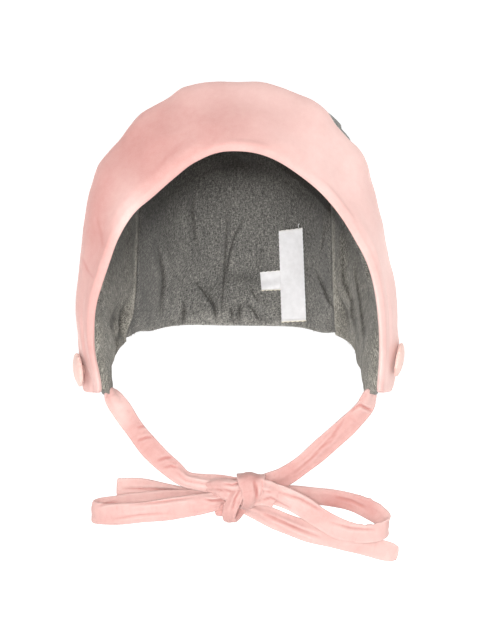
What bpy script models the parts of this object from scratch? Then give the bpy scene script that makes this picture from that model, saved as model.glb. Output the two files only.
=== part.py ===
# Baby bonnet: grey wool hood with a turned-back velvet band, two covered buttons,
# a grey lining with two sewn-in labels, and velvet ties in a bow.
# Metres, +Z up, the face opening looks along -Y and +X is on the right seen from the front.
# The hood is worked out in a frame that stands on its two jaw corners, and is then moved
# so that the origin is the place under the crown where the top of the head touches the lining.

import math
from bisect import bisect_right

import bpy
import bmesh
from mathutils import Vector
from mathutils.bvhtree import BVHTree

# Hood, measured from the jaw corners
CORNER_HALF_WIDTH = 0.068
TIP_HALF_WIDTH = 0.064
TIP_LENGTH = 0.016
TIP_DROP = 0.0025
TIP_LEAN = 0.001
EDGE_HALF_WIDTH = 0.071
EDGE_HEIGHT = 0.1203
HOOD_HALF_WIDTH = 0.075
HOOD_HEIGHT = 0.1465
HOOD_DEPTH = 0.138
HOOD_LEAN = 0.0038
NECK_HALF_WIDTH = 0.0612
NECK_LEAN = 0.0025
NAPE_DEPTH = 0.124
NAPE_RISE = 0.0148
NECK_BOW = 0.006
SEAM_LEFT_AT_EDGE = 0.0505
SEAM_LEFT_AT_NECK = 0.0615
SEAM_RIGHT_AT_EDGE = 0.047
SEAM_RIGHT_AT_NECK = 0.0545
SEAM_CURVE = 0.7
SEAT_SHARE = 0.30

# Cloth walls and the gaps between them
SHELL_WALL = 0.0015
LINING_WALL = 0.001
CLOTH_GAP = 0.0003
SEAM_GAP = 0.0004

# Turned-back band
BAND_WALL = 0.0026
BAND_GAP = 0.0006
BAND_TOP_DEPTH = 0.036
BAND_END_DEPTH = 0.0145
BAND_NOSE = 0.0026
BAND_END_DROP = 0.0014
HEM_LIFT = 0.0085
EDGE_WAVE = 0.006
EDGE_FADE = 0.3
HEM_ROUNDING = 0.7

# Covered buttons
BUTTON_RADIUS = 0.0083
BUTTON_DOME = 0.0026
BUTTON_RIM = 0.001
SHANK_RADIUS = 0.0024
BUTTON_GAP = 0.0006
BUTTON_CLEARANCE = 1.2

# Ties and bow
STRAP_WIDTH = 0.0102
STRAP_WALL = 0.0026
KNOT_ACROSS = 0.0028
KNOT_BACK = 0.005
KNOT_DROP = 0.0536
KNOT_HALF_WIDTH = 0.0092
KNOT_HALF_DEPTH = 0.0074
KNOT_HEIGHT = 0.0245
KNOT_ABOVE = 0.44
KNOT_GAP = 0.0003
LOOP_REACH = 0.0745
TAIL_REACH = 0.078
BOW_SAG = 0.030
BOW_DEPTH = 0.008

# Labels
LABEL_WIDTH = 0.0138
LABEL_HEIGHT = 0.0505
LABEL_ACROSS = 0.0282
LABEL_LEAN = 0.0012
LABEL_RISE = 0.0012
LABEL_WALL = 0.0004
LABEL_GAP = 0.0003
LABEL_FOLD = 0.12
SIZE_LABEL_WIDTH = 0.0135
SIZE_LABEL_HEIGHT = 0.0105
SIZE_LABEL_RISE = 0.0165
SIZE_LABEL_TUCK = 0.0025

# Mesh density
SIDE_COLUMNS = 7
CROWN_COLUMNS = 16
HOOD_ROWS = 20
ROUND_STEPS = 20
DOME_STEPS = 5
KNOT_STEPS = 14
LABEL_COLUMNS = 4
LABEL_ROWS = 10
SAMPLE_STEP = 0.002
NORMAL_STEP = 0.004
SHARP_ANGLE = 50.0

# How the hood's columns crowd towards the jaw corners, and how soon an arch reaches its width
ARCH_BIAS = 0.3
WIDTH_EASE = 0.4

# Arches between the front edge and the neck edge: how far round from the front they lie,
# then shares of HOOD_DEPTH, HOOD_HEIGHT and HOOD_HALF_WIDTH, how square the arch is,
# and its lean to the left as a share of HOOD_LEAN
ARCHES = (
    # around, back, up, width, fullness, lean
    (0.090, 0.130, 0.895, 0.955, 2.45, 1.0),
    (0.200, 0.304, 0.995, 0.995, 2.70, 1.0),
    (0.320, 0.507, 0.987, 1.000, 2.80, 0.3),
    (0.455, 0.725, 0.912, 0.970, 2.70, 0.1),
    (0.600, 0.906, 0.735, 0.935, 2.60, 0.2),
    (0.745, 1.000, 0.510, 0.895, 2.60, 0.4),
    (0.870, 0.993, 0.306, 0.865, 2.80, 0.5),
    (0.955, 0.942, 0.170, 0.830, 3.15, 0.6),
)
EDGE_FULLNESS = 2.4
NECK_FULLNESS = 3.40

# Shape of the face opening: how far it leaves a plain arch, as a share of EDGE_WAVE
EDGE_SHAPE = (
    # along, swell
    (0.00, 0.20),
    (0.05, 0.41),
    (0.10, 0.19),
    (0.20, -0.27),
    (0.25, -0.33),
    (0.30, -0.53),
    (0.35, -0.98),
    (0.40, -0.93),
    (0.45, -0.42),
    (0.50, 0.08),
    (0.60, -0.37),
    (0.65, -0.31),
    (0.75, 0.15),
    (0.80, 0.50),
    (0.85, 0.59),
    (0.90, 0.51),
    (0.95, 0.33),
    (1.00, 0.04),
)

# Back hem of the band: how far it stands off the hood, as a share of HEM_LIFT
HEM_SHAPE = (
    # along, lift
    (0.00, 1.15),
    (0.02, 1.05),
    (0.05, 0.67),
    (0.10, 0.00),
    (0.15, 0.03),
    (0.20, 0.27),
    (0.25, 0.44),
    (0.275, 0.56),
    (0.30, 0.40),
    (0.325, 0.29),
    (0.35, 0.40),
    (0.375, 0.50),
    (0.40, 0.38),
    (0.425, 0.35),
    (0.45, 0.58),
    (0.50, 0.50),
    (0.525, 0.63),
    (0.55, 0.52),
    (0.575, 0.52),
    (0.60, 0.65),
    (0.625, 0.61),
    (0.65, 0.34),
    (0.675, 0.37),
    (0.70, 0.60),
    (0.725, 0.56),
    (0.75, 0.32),
    (0.80, 0.13),
    (0.85, 0.00),
    (0.90, 0.27),
    (0.95, 0.53),
    (0.98, 0.98),
    (1.00, 1.05),
)

# Cross-section of the band flap from the rolled edge to the hem and back underneath
FLAP_SECTION = (
    # reach as a share of the band, rise as a share of BAND_WALL
    (0.02, 1.05),
    (0.18, 1.35),
    (0.42, 1.45),
    (0.68, 1.32),
    (0.88, 1.15),
    (0.97, 0.85),
    (1.00, 0.45),
    (0.97, 0.14),
    (0.80, 0.14),
    (0.55, 0.12),
    (0.30, 0.06),
    (0.02, 0.0),
)
OUTER_FACE_POINTS = 7
HEM_CURL = 1.6
BAND_END_SHARE = 0.05

# Rounded lower ends of the band: drop as a share of BAND_END_DROP, and inset
BAND_END = (
    # fall, inset
    (0.60, 0.08),
    (1.00, 0.30),
)

# Rolled front edge of the band: shares of BAND_NOSE ahead of the hood edge,
# and shares of the whole cloth thickness between its inner and outer face
NOSE_SECTION = (
    # ahead, through
    (0.0, 0.0),
    (0.45, -0.05),
    (0.86, 0.12),
    (1.0, 0.40),
    (0.86, 0.72),
    (0.42, 0.95),
)

# Cross-section of a strap: shares of its half width and of half its wall
STRAP_SECTION = (
    # aside, above
    (1.0, 0.0),
    (0.82, 0.72),
    (0.30, 1.0),
    (-0.30, 1.0),
    (-0.82, 0.72),
    (-1.0, 0.0),
    (-0.82, -0.72),
    (-0.30, -1.0),
    (0.30, -1.0),
    (0.82, -0.72),
)

# Routes of the ties. Shares of the way from the jaw corner to the knot, back as a share
# of BOW_DEPTH, turn in degrees (0 shows the strap's edge, 90 its face), width as a share
TIE_LEFT = (
    # across, down, back, turn, width
    (0.020, 0.050, 1.00, 8.0, 0.90),
    (0.045, 0.110, 0.95, 30.0, 0.95),
    (0.102, 0.210, 0.85, 60.0, 1.0),
    (0.175, 0.350, 0.75, 76.0, 1.0),
    (0.270, 0.515, 0.70, 82.0, 1.0),
    (0.364, 0.650, 0.65, 84.0, 1.0),
    (0.464, 0.765, 0.60, 78.0, 0.95),
    (0.560, 0.862, 0.50, 58.0, 0.85),
    (0.690, 0.890, 0.40, 48.0, 0.72),
    (0.830, 0.900, 0.35, 48.0, 0.68),
    (0.960, 0.930, 0.40, 60.0, 0.68),
)
TIE_RIGHT = (
    # across, down, back, turn, width
    (0.000, 0.055, 1.00, 12.0, 0.80),
    (0.020, 0.110, 0.95, 34.0, 0.85),
    (0.060, 0.200, 0.85, 66.0, 0.95),
    (0.185, 0.350, 0.75, 84.0, 1.0),
    (0.350, 0.525, 0.70, 86.0, 1.0),
    (0.525, 0.705, 0.65, 86.0, 1.0),
    (0.685, 0.835, 0.60, 82.0, 1.0),
    (0.800, 0.880, 0.40, 78.0, 0.92),
    (0.940, 0.930, 0.10, 78.0, 0.85),
)

# Bow pieces run out from the knot: out is a share of LOOP_REACH or TAIL_REACH from the
# centre line, down a share of BOW_SAG below the knot's middle, back a share of BOW_DEPTH
LOOP_LEFT = (
    # out, down, back, turn, width
    (0.060, 0.060, -0.20, 0.0, 0.80),
    (0.200, 0.110, -0.55, 0.0, 0.95),
    (0.380, 0.170, -0.85, 0.0, 1.05),
    (0.600, 0.240, -1.00, 0.0, 1.04),
    (0.820, 0.290, -0.90, 0.0, 1.04),
    (0.940, 0.300, -0.55, 0.0, 1.02),
    (0.985, 0.290, -0.10, 0.0, 1.02),
    (0.940, 0.250, 0.32, 0.0, 1.0),
    (0.820, 0.210, 0.45, 0.0, 1.0),
    (0.600, 0.150, 0.45, 0.0, 1.0),
    (0.380, 0.100, 0.40, 0.0, 0.95),
    (0.200, 0.050, 0.30, 0.0, 0.85),
    (0.060, 0.020, 0.20, 0.0, 0.75),
)
LOOP_RIGHT = (
    # out, down, back, turn, width
    (0.100, 0.030, 0.60, 0.0, 0.75),
    (0.250, 0.040, 0.75, 0.0, 0.85),
    (0.420, 0.060, 0.70, 0.0, 0.88),
    (0.600, 0.095, 0.60, 0.0, 0.90),
    (0.760, 0.180, 0.60, 0.0, 0.92),
    (0.890, 0.320, 0.50, 0.0, 0.95),
    (0.975, 0.480, 0.15, 0.0, 0.95),
    (0.955, 0.600, -0.30, 0.0, 0.92),
    (0.830, 0.640, -0.62, 0.0, 0.95),
    (0.680, 0.560, -0.80, 0.0, 0.98),
    (0.540, 0.370, -0.85, 0.0, 1.02),
    (0.400, 0.140, -0.80, 0.0, 1.10),
    (0.260, -0.010, -0.60, 0.0, 1.05),
    (0.120, -0.080, -0.25, 0.0, 0.85),
)
TAIL_LEFT = (
    # out, down, back, turn, width
    (0.070, 0.140, 0.60, 0.0, 0.70),
    (0.180, 0.160, 0.85, 0.0, 0.85),
    (0.370, 0.100, 1.00, 0.0, 0.95),
    (0.600, -0.030, 1.00, 0.0, 1.0),
    (0.795, -0.050, 0.95, 0.0, 1.0),
)
TAIL_RIGHT = (
    # out, down, back, turn, width
    (0.030, 0.210, 0.10, 0.0, 0.75),
    (0.130, 0.320, 0.05, 0.0, 0.90),
    (0.270, 0.480, 0.00, 0.0, 1.02),
    (0.430, 0.630, 0.00, 0.0, 1.04),
    (0.620, 0.760, 0.00, 0.0, 1.0),
    (0.820, 0.900, 0.05, 0.0, 1.0),
    (0.960, 0.990, 0.05, 0.0, 0.92),
    (1.010, 1.015, 0.05, 0.0, 0.66),
)

# Knot from top to bottom: shares of KNOT_HEIGHT, KNOT_HALF_WIDTH and KNOT_HALF_DEPTH
KNOT_SECTION = (
    # down, across, width, depth
    (0.00, 0.00, 0.25, 0.35),
    (0.05, 0.02, 0.62, 0.72),
    (0.18, 0.10, 0.88, 0.95),
    (0.34, 0.12, 0.98, 1.0),
    (0.50, -0.20, 1.02, 1.0),
    (0.64, -0.45, 0.84, 0.92),
    (0.80, -0.80, 0.60, 0.75),
    (0.94, -0.92, 0.40, 0.50),
    (1.00, -0.92, 0.18, 0.22),
)

# Rolled rim of a button down to its flat back
BUTTON_BACK = (
    # share of BUTTON_RADIUS, share of BUTTON_RIM
    (0.94, 0.3),
    (0.80, 0.0),
)

# Place of each button on the band: along the face opening, and reach across the band
BUTTON_LEFT_PLACE = (0.0110, 0.60)
BUTTON_RIGHT_PLACE = (0.9810, 0.60)

PINK = (0.84, 0.47, 0.43, 1.0)
PALE_PINK = (0.90, 0.58, 0.52, 1.0)
GREY = (0.17, 0.165, 0.155, 1.0)
LINING_GREY = (0.15, 0.145, 0.14, 1.0)
LABEL_WHITE = (0.83, 0.82, 0.81, 1.0)
VELVET_ROUGHNESS = 0.75
VELVET_SHEEN = 0.6
WOOL_ROUGHNESS = 0.9
WOOL_SHEEN = 0.2
LABEL_ROUGHNESS = 0.5
LABEL_SHEEN = 0.1


def smooth_column(rows, column, at):
    """Read one column of a table between its rows, without a kink at any row."""
    keys = [row[0] for row in rows]
    last = len(rows) - 1
    low = min(max(bisect_right(keys, at) - 1, 0), last - 1)
    span = keys[low + 1] - keys[low]
    local = (at - keys[low]) / span

    def slope(index):
        before = max(index - 1, 0)
        after = min(index + 1, last)
        return (rows[after][column] - rows[before][column]) / (keys[after] - keys[before])

    start = rows[low][column]
    end = rows[low + 1][column]
    square = local * local
    cube = square * local
    return ((2 * cube - 3 * square + 1) * start
            + (cube - 2 * square + local) * span * slope(low)
            + (3 * square - 2 * cube) * end
            + (cube - square) * span * slope(low + 1))


def hood_arches():
    """The arches as sizes: around, back, up, half width, fullness, lean."""
    rows = [(0.0, 0.0, EDGE_HEIGHT, EDGE_HALF_WIDTH, EDGE_FULLNESS, HOOD_LEAN)]
    for around, back, up, width, fullness, lean in ARCHES:
        rows.append((around, back * HOOD_DEPTH, up * HOOD_HEIGHT,
                     width * HOOD_HALF_WIDTH, fullness, lean * HOOD_LEAN))
    rows.append((1.0, NAPE_DEPTH, NAPE_RISE, NECK_HALF_WIDTH, NECK_FULLNESS, NECK_LEAN))
    return rows


ARCH_ROWS = hood_arches()


def arch_point(along, around):
    """A point of the plain hood: along runs left to right over the head, around front to neck."""
    back = smooth_column(ARCH_ROWS, 1, around)
    up = smooth_column(ARCH_ROWS, 2, around)
    half_width = smooth_column(ARCH_ROWS, 3, around)
    fullness = smooth_column(ARCH_ROWS, 4, around)
    lean = smooth_column(ARCH_ROWS, 5, around)
    turn = math.pi * (along - ARCH_BIAS * math.sin(2 * math.pi * along) / (2 * math.pi))
    lift = max(math.sin(turn), 0.0) ** (2 / fullness)
    spread = abs(math.cos(turn)) ** (2 / fullness)
    side = -1.0 if along < 0.5 else 1.0
    base_width = CORNER_HALF_WIDTH + (TIP_HALF_WIDTH - CORNER_HALF_WIDTH) * around
    ease = min(lift / WIDTH_EASE, 1.0)
    ease = ease * ease * (3 - 2 * ease)
    width = base_width + (half_width - base_width) * ease
    base_back = TIP_LENGTH * around
    base_up = -TIP_DROP * around
    bow = NECK_BOW * around ** 4 * 4 * lift * (1 - lift)
    lean = TIP_LEAN * around * (1 - ease) + lean * ease
    return Vector((side * width * spread - lean,
                   base_back + (back - base_back) * lift,
                   base_up + (up - base_up) * lift + bow))


def hood_point(along, around):
    """The hood with the shape of its face opening, which fades out under the band."""
    point = arch_point(along, around)
    fade = max(1 - around / EDGE_FADE, 0.0) ** 2
    if fade > 0:
        low, high = max(along - SAMPLE_STEP, 0.0), min(along + SAMPLE_STEP, 1.0)
        tangent = arch_point(high, 0.0) - arch_point(low, 0.0)
        outward = Vector((-tangent.z, 0.0, tangent.x)).normalized()
        point += outward * EDGE_WAVE * smooth_column(EDGE_SHAPE, 1, along) * fade
    return point


def hood_normal(along, around):
    """The direction straight out of the hood at one place."""
    low, high = max(along - NORMAL_STEP, 0.0), min(along + NORMAL_STEP, 1.0)
    front, rear = max(around - NORMAL_STEP, 0.0), min(around + NORMAL_STEP, 1.0)
    across = hood_point(high, around) - hood_point(low, around)
    backward = hood_point(along, rear) - hood_point(along, front)
    return across.cross(backward).normalized()


def head_seat():
    """The place under the crown where the top of the head touches the lining."""
    top = hood_point(0.5, SEAT_SHARE)
    return top - Vector((0, 0, CLOTH_GAP / 2 + LINING_WALL))


SEAT = head_seat()
SEAT.x = 0.0


def material(name, colour, roughness, sheen):
    made = bpy.data.materials.new(name)
    made.use_nodes = True
    shader = made.node_tree.nodes["Principled BSDF"]
    shader.inputs["Base Color"].default_value = colour
    shader.inputs["Roughness"].default_value = roughness
    shader.inputs["Metallic"].default_value = 0.0
    shader.inputs["Sheen Weight"].default_value = sheen
    return made


def add_object(name, vertices, faces, finish, collection):
    """Make a mesh object from points in the jaw-corner frame, with its faces pointing out."""
    mesh = bpy.data.meshes.new(name)
    mesh.from_pydata([point - SEAT for point in vertices], [], faces)
    shape = bmesh.new()
    shape.from_mesh(mesh)
    bmesh.ops.recalc_face_normals(shape, faces=shape.faces)
    shape.to_mesh(mesh)
    shape.free()
    mesh.materials.append(finish)
    mesh.shade_smooth()
    mesh.set_sharp_from_angle(angle=math.radians(SHARP_ANGLE))
    made = bpy.data.objects.new(name, mesh)
    collection.objects.link(made)
    return made


def loft(rings):
    """Points and faces of a closed skin over rings that all have the same number of points."""
    vertices = []
    faces = []
    count = len(rings[0])
    for ring in rings:
        vertices.extend(ring)
    for row in range(len(rings) - 1):
        for corner in range(count):
            after = (corner + 1) % count
            first = row * count
            second = first + count
            faces.append((first + corner, first + after, second + after, second + corner))
    faces.append(tuple(range(count)))
    faces.append(tuple(range(len(vertices) - count, len(vertices))))
    return vertices, faces


def seam_along(around, right):
    """Where a seam between side and crown lies, from how far out it is at the edge and the neck."""
    at_edge = SEAM_RIGHT_AT_EDGE if right else SEAM_LEFT_AT_EDGE
    at_neck = SEAM_RIGHT_AT_NECK if right else SEAM_LEFT_AT_NECK
    spread = at_edge + (at_neck - at_edge) * around ** SEAM_CURVE
    outer, inner = (0.98, 0.5) if right else (0.02, 0.5)
    for _ in range(30):
        middle = (outer + inner) / 2
        if abs(arch_point(middle, around).x) > spread:
            outer = middle
        else:
            inner = middle
    return (outer + inner) / 2


def hood_panel(name, edges, columns, side, wall, finish, collection):
    """One cloth panel between two seams; side is 1 outside the hood's mid surface, -1 inside."""
    vertices = []
    faces = []
    for row in range(HOOD_ROWS + 1):
        around = row / HOOD_ROWS
        low, high = edges(around)
        for column in range(columns + 1):
            along = low + (high - low) * column / columns
            point = hood_point(along, around)
            vertices.append(point + hood_normal(along, around) * side * CLOTH_GAP / 2)
    width = columns + 1
    for row in range(HOOD_ROWS):
        for column in range(columns):
            corner = row * width + column
            faces.append((corner, corner + 1, corner + width + 1, corner + width))
    mesh = bpy.data.meshes.new(name)
    mesh.from_pydata([point - SEAT for point in vertices], [], faces)
    mesh.materials.append(finish)
    mesh.shade_smooth()
    made = bpy.data.objects.new(name, mesh)
    collection.objects.link(made)
    shell = made.modifiers.new("wall", "SOLIDIFY")
    shell.thickness = wall
    shell.offset = side
    return made


def panel_edges():
    """Edge functions of the three panels, held SEAM_GAP apart at each seam."""
    def half_gap(along, around):
        low = arch_point(along - SAMPLE_STEP, around)
        high = arch_point(along + SAMPLE_STEP, around)
        return SEAM_GAP * SAMPLE_STEP / (high - low).length

    def left(around):
        seam = seam_along(around, False)
        return 0.0, seam - half_gap(seam, around)

    def crown(around):
        seam_left = seam_along(around, False)
        seam_right = seam_along(around, True)
        return (seam_left + half_gap(seam_left, around), seam_right - half_gap(seam_right, around))

    def right(around):
        seam = seam_along(around, True)
        return seam + half_gap(seam, around), 1.0

    return left, crown, right


def hem_around(along):
    """How far round the hood the band's hem lies, from its depth at the top and at the ends."""
    turn = math.pi * (along - ARCH_BIAS * math.sin(2 * math.pi * along) / (2 * math.pi))
    height = max(math.sin(turn), 0.0) ** HEM_ROUNDING
    depth = BAND_END_DEPTH + (BAND_TOP_DEPTH - BAND_END_DEPTH) * height
    low, high = 0.0, 0.96
    for _ in range(30):
        middle = (low + high) / 2
        if arch_point(along, middle).y < depth:
            low = middle
        else:
            high = middle
    return (low + high) / 2


def flap_point(along, reach, rise):
    """A point in the band's flap: reach from the rolled edge to the hem, rise in wall shares."""
    around = reach * hem_around(along)
    lift = HEM_LIFT * smooth_column(HEM_SHAPE, 1, along) * reach ** HEM_CURL
    out = CLOTH_GAP / 2 + SHELL_WALL + BAND_GAP + lift + rise * BAND_WALL
    outward = hood_normal(along, around)
    outward.z *= min(along, 1 - along, BAND_END_SHARE) / BAND_END_SHARE
    return hood_point(along, around) + outward.normalized() * out


def band_ring(along):
    """The band's whole cross-section at one place along the face opening."""
    ring = [flap_point(along, reach, rise) for reach, rise in FLAP_SECTION]
    edge = hood_point(along, 0.0)
    normal = hood_normal(along, 0.0)
    ahead = (edge - hood_point(along, 0.03)).normalized()
    inner = -(CLOTH_GAP / 2 + LINING_WALL)
    outer = CLOTH_GAP / 2 + SHELL_WALL + BAND_GAP + BAND_WALL
    front = edge + ahead * BAND_GAP
    ring.append(front + normal * (CLOTH_GAP / 2 + SHELL_WALL + BAND_GAP))
    for share, through in NOSE_SECTION:
        ring.append(front + ahead * share * BAND_NOSE + normal * (inner + (outer - inner) * through))
    return ring


def band_columns():
    """Places along the opening where the band has a section, on the hood's own columns."""
    left, crown, right = panel_edges()
    places = []
    for edges, columns in ((left, SIDE_COLUMNS), (crown, CROWN_COLUMNS), (right, SIDE_COLUMNS)):
        low, high = edges(0.0)
        for column in range(columns):
            for part in (0.0, 0.5):
                places.append(low + (high - low) * (column + part) / columns)
    places.append(1.0)
    return places


def make_band(finish, collection):
    """The turned-back band, with its lower ends rounded off."""
    rings = []
    for along in band_columns():
        rings.append(band_ring(along))
    for end in (0, -1):
        ring = rings[end]
        centre = sum(ring, Vector()) / len(ring)
        for fall, inset in BAND_END:
            drop = Vector((0, 0, -BAND_END_DROP * fall))
            shrunk = [point + drop + (centre - point) * inset for point in ring]
            if end == 0:
                rings.insert(0, shrunk)
            else:
                rings.append(shrunk)
    vertices, faces = loft(rings)
    return add_object("front_band", vertices, faces, finish, collection)


def flap_top(along, reach):
    """A point on the band's outer face."""
    along = min(max(along, 0.0), 1.0)
    reach = min(max(reach, FLAP_SECTION[0][0]), 1.0)
    rise = smooth_column(FLAP_SECTION[:OUTER_FACE_POINTS], 1, reach)
    return flap_point(along, reach, rise)


def highest_near(place, axis, radius):
    """How far the band's outer face rises along an axis within a radius of a place on it."""
    along, reach = place
    seat = flap_top(along, reach)
    highest = 0.0
    for along_step in range(-12, 13):
        for reach_step in range(-12, 13):
            spot = flap_top(along + along_step * 0.005, reach + reach_step * 0.04) - seat
            height = spot.dot(axis)
            if (spot - axis * height).length < radius:
                highest = max(highest, height)
    return highest


def make_button(name, place, finish, collection):
    """A domed cloth-covered button turned about its own axis, seated on the band by its shank."""
    along, reach = place
    across = flap_top(along + 0.01, reach) - flap_top(along - 0.01, reach)
    backward = flap_top(along, reach + 0.1) - flap_top(along, reach - 0.1)
    axis = across.cross(backward).normalized()
    base = highest_near(place, axis, SHANK_RADIUS * BUTTON_CLEARANCE) + BUTTON_GAP
    under = highest_near(place, axis, BUTTON_RADIUS * BUTTON_CLEARANCE) + BUTTON_GAP
    profile = [(0.0, under + BUTTON_RIM + BUTTON_DOME)]
    for step in range(1, DOME_STEPS + 1):
        angle = math.pi / 2 * (1 - step / DOME_STEPS)
        profile.append((BUTTON_RADIUS * math.cos(angle),
                        under + BUTTON_RIM + BUTTON_DOME * math.sin(angle)))
    for radius, height in BUTTON_BACK:
        profile.append((BUTTON_RADIUS * radius, under + BUTTON_RIM * height))
    if under > base:
        profile.append((SHANK_RADIUS, under))
        profile.append((SHANK_RADIUS, base))
        under = base
    profile.append((0.0, under))
    mesh = bpy.data.meshes.new(name)
    edges = [(index, index + 1) for index in range(len(profile) - 1)]
    mesh.from_pydata([(radius, 0.0, height) for radius, height in profile], edges, [])
    mesh.materials.append(finish)
    made = bpy.data.objects.new(name, mesh)
    collection.objects.link(made)
    turned = made.modifiers.new("turned", "SCREW")
    turned.steps = ROUND_STEPS
    turned.render_steps = ROUND_STEPS
    turned.use_merge_vertices = True
    turned.merge_threshold = 0.00001
    turned.use_smooth_shade = True
    made.location = flap_top(along, reach) - SEAT
    made.rotation_euler = axis.to_track_quat("Z", "Y").to_euler()
    return made


def route_points(rows, place, steps):
    """Smooth points along a strap's route, with turn and width at each."""
    keyed = [(index,) + tuple(place(row)) + (row[3], row[4]) for index, row in enumerate(rows)]
    points = []
    last = len(rows) - 1
    for number in range(last * steps + 1):
        at = number / steps
        point = Vector([smooth_column(keyed, column, at) for column in (1, 2, 3)])
        points.append((point, smooth_column(keyed, 4, at), smooth_column(keyed, 5, at)))
    return points


def strap_rings(points, upright):
    """Flat rounded cross-sections along a route; upright is the width direction at turn 0."""
    rings = []
    last = len(points) - 1
    for index, (point, turn, width) in enumerate(points):
        tangent = (points[min(index + 1, last)][0] - points[max(index - 1, 0)][0]).normalized()
        side = (upright - tangent * upright.dot(tangent)).normalized()
        out = tangent.cross(side)
        angle = math.radians(turn)
        across = side * math.cos(angle) + out * math.sin(angle)
        through = tangent.cross(across)
        wide = across * width * STRAP_WIDTH / 2
        thick = through * STRAP_WALL / 2
        rings.append([point + wide * aside + thick * above for aside, above in STRAP_SECTION])
    return rings


def make_strap(name, rows, place, upright, steps, finish, collection):
    """A flat strap of cloth along its route."""
    vertices, faces = loft(strap_rings(route_points(rows, place, steps), upright))
    return add_object(name, vertices, faces, finish, collection)


def tie_place(sign):
    """Shares of a tie's route as a place, from the tip of one jaw corner to the knot."""
    corner_across = sign * (CORNER_HALF_WIDTH + TIP_HALF_WIDTH) / 2 - TIP_LEAN / 2

    def place(row):
        across, down, back = row[:3]
        return (corner_across + (KNOT_ACROSS - corner_across) * across,
                KNOT_BACK + (BOW_DEPTH - KNOT_BACK) * back,
                -KNOT_DROP * down)

    return place


def bow_place(sign, reach):
    """Shares of a bow piece's route as a place, out from the centre line."""
    def place(row):
        out, down, back = row[:3]
        return (sign * reach * out, KNOT_BACK + BOW_DEPTH * back, -KNOT_DROP - BOW_SAG * down)

    return place


def knot_rings(grow):
    """The knot's cross-sections, all grown by the same amount."""
    rings = []
    for down, across, width, depth in KNOT_SECTION:
        height = KNOT_HEIGHT * (KNOT_ABOVE - down) - KNOT_DROP
        height += grow * (1 - 2 * down)
        centre = Vector((KNOT_ACROSS + across * KNOT_HALF_WIDTH, KNOT_BACK, height))
        ring = []
        for corner in range(KNOT_STEPS):
            angle = 2 * math.pi * corner / KNOT_STEPS
            ring.append(centre + Vector(((width * KNOT_HALF_WIDTH + grow) * math.cos(angle),
                                         (depth * KNOT_HALF_DEPTH + grow) * math.sin(angle), 0)))
        rings.append(ring)
    return rings


def make_knot(finish, collection, cutters):
    """The knot, and a slightly larger copy that trims the straps where they enter it."""
    vertices, faces = loft(knot_rings(0.0))
    add_object("bow_knot", vertices, faces, finish, collection)
    vertices, faces = loft(knot_rings(KNOT_GAP))
    cutter = add_object("knot_cutter", vertices, faces, finish, cutters)
    cutter.hide_render = True
    cutter.display_type = "WIRE"
    return cutter


def cut_at_knot(strap, cutter):
    """Take the knot's room out of a strap."""
    cut = strap.modifiers.new("knot", "BOOLEAN")
    cut.operation = "DIFFERENCE"
    cut.solver = "EXACT"
    cut.object = cutter


def lay_label(name, centre, low, width, height, lean, lift, surface, finish, collection):
    """A flat label laid on the lining at the nape, as a thin closed sheet."""
    vertices = []
    faces = []
    for row in range(LABEL_ROWS + 1):
        for column in range(LABEL_COLUMNS + 1):
            up = row / LABEL_ROWS
            across = centre + width * (column / LABEL_COLUMNS - 0.5) - lean * up
            start = Vector((across, NAPE_DEPTH / 4, low + height * up)) - SEAT
            spot, normal, _, _ = surface.ray_cast(start, Vector((0, 1, 0)))
            if spot is None:
                spot, normal, _, _ = surface.find_nearest(start + Vector((0, NAPE_DEPTH, 0)))
            if normal.y > 0:
                normal = -normal
            vertices.append(spot + normal * lift(up))
    count = LABEL_COLUMNS + 1
    for row in range(LABEL_ROWS):
        for column in range(LABEL_COLUMNS):
            corner = row * count + column
            faces.append((corner, corner + 1, corner + count + 1, corner + count))
    mesh = bpy.data.meshes.new(name)
    mesh.from_pydata(vertices, [], faces)
    mesh.materials.append(finish)
    made = bpy.data.objects.new(name, mesh)
    collection.objects.link(made)
    shell = made.modifiers.new("wall", "SOLIDIFY")
    shell.thickness = LABEL_WALL
    shell.offset = 1.0
    return made


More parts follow.
